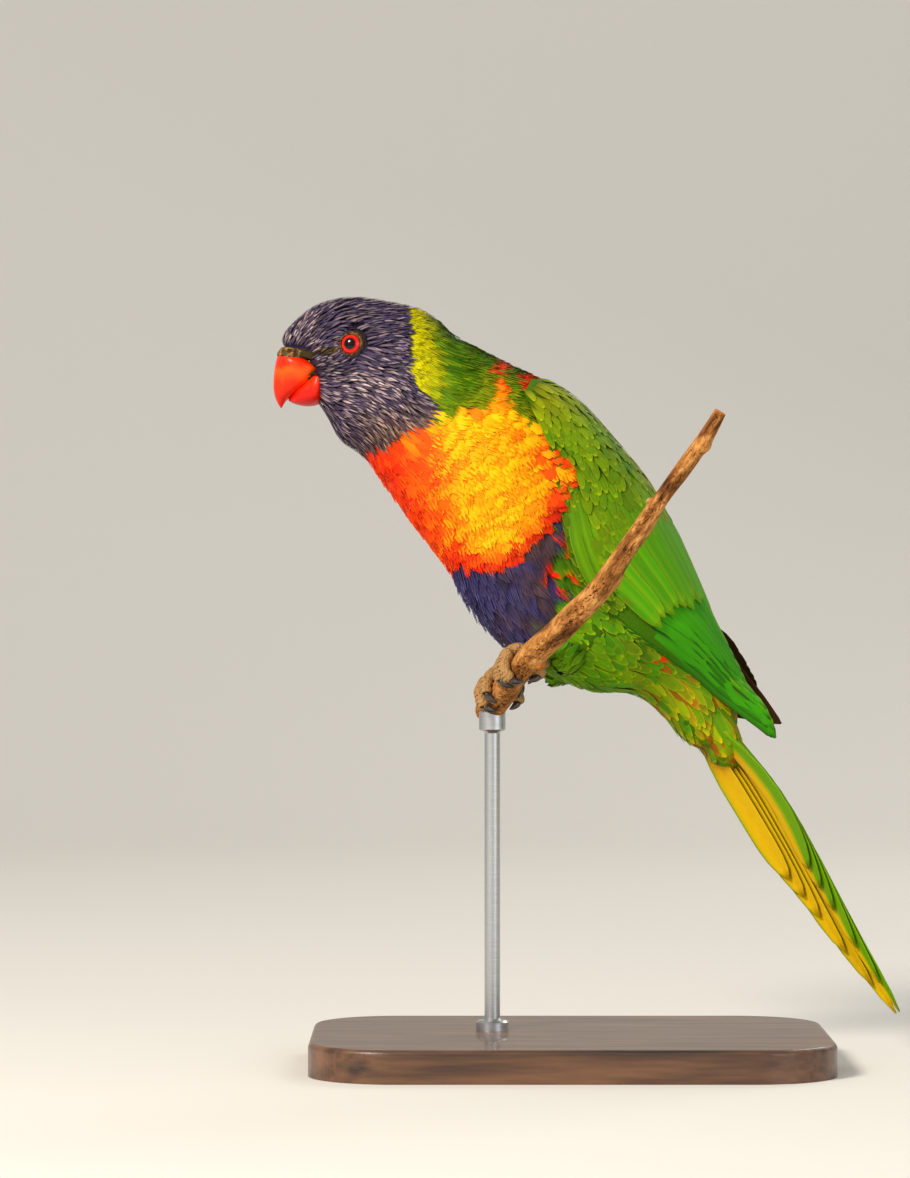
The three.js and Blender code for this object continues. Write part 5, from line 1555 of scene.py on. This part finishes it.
def footPiece(name, leg):
    parts = []
    for toe in feet["toes"].values():
        distance = toeDistance(leg, toe)
        radii = [toe["radius"] * share for share in feet["toeShape"]]
        parts.append(arcTube(leg, toe, toe["toe"], (distance, distance - feet["toeSink"]), radii, 28, 36))
    palmAt = leg["foot"] + gripUp * (leg["radius"] + feet["gap"] + feet["palm"][2])
    palm = ballOf(32, 20, mm)
    bmesh.ops.scale(palm, vec=feet["palm"], verts=palm.verts)
    moveBy(palm, palmAt, Matrix([[*map(float, v)] for v in (gripAhead, alongTwig, gripUp)]).transposed())
    heel = np.array(leg["heel"], float)
    ahead = unit(heel - palmAt)
    across = unit(np.cross(ahead, alongTwig))

    def shank(down, turn, pole):
        ring = ringed(across, np.cross(ahead, across), turn, feet["shank"] * roundEnds(down, 0.15))
        return blend(palmAt, heel, down[:, None]) + ring

    joined = bmesh.new()
    for part in (*parts, palm, shapedBall(24, 20, shank)):
        mesh = bpy.data.meshes.new("part")
        bmesh.ops.recalc_face_normals(part, faces=part.faces)
        part.to_mesh(mesh)
        joined.from_mesh(mesh)
        part.free()
    piece = objectOf(name, joined)
    at, normal = remeshed(piece, feet["voxel"], feet["relax"])
    along, up, front = ((at - leg["foot"]) @ way for way in (alongTwig, gripUp, gripAhead))
    distance = np.hypot(up, front)
    outer = ramp(leg["radius"] + 0.8, leg["radius"] + 2.2, distance)
    # plates across the toes, finer scales elsewhere
    run = np.arctan2(up, front) * distance
    plates = np.abs(np.sin(run / feet["scale"] * math.pi + 0.8 * np.sin(along * 1.3)))
    middle = hill(np.abs(along) - 2.4, 1.15)
    groove = hill(plates, 0.32) * middle
    fine = waves(at, 1.1, 61)
    height = outer * (-feet["scaleDepth"] * groove + 0.07 * fine * (1 - 0.6 * middle))
    moveTo(piece, at + normal * height[:, None])
    # the paint is darker in the grooves between plates and in the dips of the fine scales: painted shade
    paintPoints(piece.data, (1 - np.clip(groove + 0.3 * (fine < -0.3), 0, 1) * outer)[:, None])
    return piece


def footMaterial():
    look = Finish("scalySkin", 0.55, specular=0.3)
    # the painted grooves give the darkest tones, painted shade
    share = look.math("MULTIPLY_ADD", look.noise(500), 0.6, look.paint())
    tones = [(0.35, srgb(16, 10, 5)), (0.62, srgb(64, 42, 20)), (0.85, srgb(116, 80, 42)),
             (1.0, srgb(166, 124, 72))]
    return look.done(look.stops(share, tones), (look.cells(1500.0), 0.8, 0.0004))


def clawMaterial():
    look = Finish("clawHorn", 0.28, coat=0.3)
    tone = look.stops(look.noise(500, 3), [(0.3, srgb(22, 18, 16)), (0.7, srgb(66, 56, 46))])
    return look.done(tone, (look.noise(1400, 2, {"Scale": (1, 1, 0.3)}), 0.2, 0.0002))


footFinish, clawFinish = footMaterial(), clawMaterial()
for side, leg in feet["legs"].items():
    toeNodes = ["toe_" + key + "_" + side for key in feet["toes"]]
    finishPiece(footPiece("foot" + side.title(), leg), footFinish, "foot_skin", "foot_" + side, *toeNodes)
    for key, toe in feet["toes"].items():
        distances = (toeDistance(leg, toe) - feet["clawSink"], leg["radius"] + feet["clawGap"])
        claw = arcTube(leg, toe, toe["claw"], distances, feet["clawRadii"], 24, 30)
        clawPiece = objectOf("claw" + key.title().replace("_", "") + side.title(), claw)
        finishPiece(clawPiece, clawFinish, "claw", "claw_" + key + "_" + side)
print("feet")


# The stand: a wooden base with eased edges and a steel rod with a collar and a cup.
stand = {
    "length": 158, "depth": 112, "height": 10, "corner": 26, "bevel": 1.6, "rodPlace": 9.4,
    "rod": 2.4, "collar": 5, "collarHeight": 3, "cup": 4.1, "cupDrop": 7.5, "cupRise": 1.2,
}


def ease(shape, edges, offset, segments):
    bmesh.ops.bevel(shape, geom=edges, offset=offset * mm, segments=segments, profile=0.5, affect="EDGES",
                    material=-1)


def standBase():
    shape = bmesh.new()
    bmesh.ops.create_cube(shape, size=1)
    bmesh.ops.scale(shape, vec=[stand[key] * mm for key in ("length", "depth", "height")], verts=shape.verts)
    bmesh.ops.translate(shape, vec=(0, 0, stand["height"] * mm / 2), verts=shape.verts)
    upright = [e for e in shape.edges if abs(e.verts[0].co.z - e.verts[1].co.z) > 1e-4]
    ease(shape, upright, stand["corner"], 24)
    top = [e for e in shape.edges if min(v.co.z for v in e.verts) > stand["height"] * mm * 0.99]
    ease(shape, top, stand["bevel"], 5)
    return objectOf("standBase", shape, smooth=False)


def standRod():
    x, y, z = farFoot - stand["rodPlace"] * alongTwig
    cupTop, cupFoot = z - stand["cupRise"], z - stand["cupDrop"]
    rod, collar, cup, foot = (stand[key] for key in ("rod", "collar", "cup", "height"))
    collarTop = foot + stand["collarHeight"]
    profile = [
        (0, foot), (collar, foot), (collar, foot + 2.4), (collar - 0.6, collarTop), (rod + 0.5, collarTop),
        (rod, collarTop + 0.6), (rod, cupFoot - 0.6), (rod + 0.6, cupFoot), (cup - 0.5, cupFoot),
        (cup, cupFoot + 0.5), (cup, cupTop - 0.4), (cup - 0.4, cupTop), (0, cupTop),
    ]
    shape = spun(profile, x, y, 64)
    bmesh.ops.remove_doubles(shape, verts=shape.verts, dist=1e-6)
    return objectOf("standRod", shape, smooth=False)


def woodMaterial():
    look = Finish("standWood", 0.4, coat=0.25)
    grain = look.noise(60, 6, {"Scale": (0.35, 3.2, 3.2)})
    fine = look.noise(320, 4, {"Scale": (0.12, 2.0, 2.0)})
    tones = [(0.45, srgb(44, 27, 17)), (0.65, srgb(84, 54, 34)), (0.9, srgb(116, 78, 50))]
    return look.done(look.stops(look.math("MULTIPLY_ADD", fine, 0.4, grain), tones), (fine, 0.12, 0.0003))


def steelMaterial():
    look = Finish("brushedSteel", 0.32, metallic=1.0)
    lines = look.noise(1600, 2, {"Scale": (0.1, 0.1, 3.0)})
    tones = [(0.3, srgb(184, 186, 188)), (0.7, srgb(204, 206, 208))]
    return look.done(look.stops(lines, tones), (lines, 0.03, 0.0001))


finishPiece(standBase(), woodMaterial(), "stand_wood", "stand_base")
finishPiece(standRod(), steelMaterial(), "stand_steel", "stand_rod")
print("stand")


# Floor, light and camera. The floor, in metres, runs back flat, turns up and rises.
floor = {"wide": 6, "front": -2.6, "flat": 3.8, "turn": 1.0, "high": 5}


def backdrop():
    grid = bmesh.new()
    bmesh.ops.create_grid(grid, x_segments=1, y_segments=48, size=1)
    for vertex in grid.verts:
        t = (vertex.co.y + 1) / 2
        a = min(1, max(0, (t - 0.5) / 0.3)) * math.pi / 2
        y = floor["front"] + floor["flat"] * min(1, 2 * t) + floor["turn"] * math.sin(a)
        z = floor["turn"] * (1 - math.cos(a)) + floor["high"] * max(0, (t - 0.8) / 0.2)
        vertex.co = Vector((vertex.co.x * floor["wide"], y, z))
    piece = objectOf("floor", grid)
    piece.data.materials.append(Finish("paleFloor", 0.9).done((*studio["floor"], 1)))


def areaLight(name, place, size, power, colour):
    data = bpy.data.lights.new(name, "AREA")
    data.shape = "DISK"
    data.size = size
    data.energy = power
    data.color = colour
    lamp = linked(name, data)
    lamp.location = place
    lamp.rotation_euler = (Vector(studio["target"]) - Vector(place)).to_track_quat("-Z", "Y").to_euler()


def studioLight():
    for name, values in studio["lights"].items():
        areaLight(name, *values)
    world = bpy.data.worlds.new("softRoom")
    world.use_nodes = True
    background = world.node_tree.nodes["Background"]
    background.inputs["Color"].default_value = (0.95, 0.97, 1.0, 1)
    background.inputs["Strength"].default_value = studio["sky"]
    bpy.context.scene.world = world
    bpy.context.scene.view_settings.view_transform = "Standard"


def photographCamera():
    data = bpy.data.cameras.new("camera")
    data.sensor_fit = "VERTICAL"
    data.sensor_height = studio["sensor"]
    data.lens = studio["sensor"] * studio["distance"] / studio["frameHeight"]
    data.clip_end = 30
    camera = linked("camera", data)
    x, z = studio["frameMiddle"]
    camera.location = (x * mm, -studio["distance"] * mm, z * mm)
    camera.rotation_euler = (math.pi / 2, 0, 0)
    bpy.context.scene.camera = camera


backdrop()
studioLight()
photographCamera()
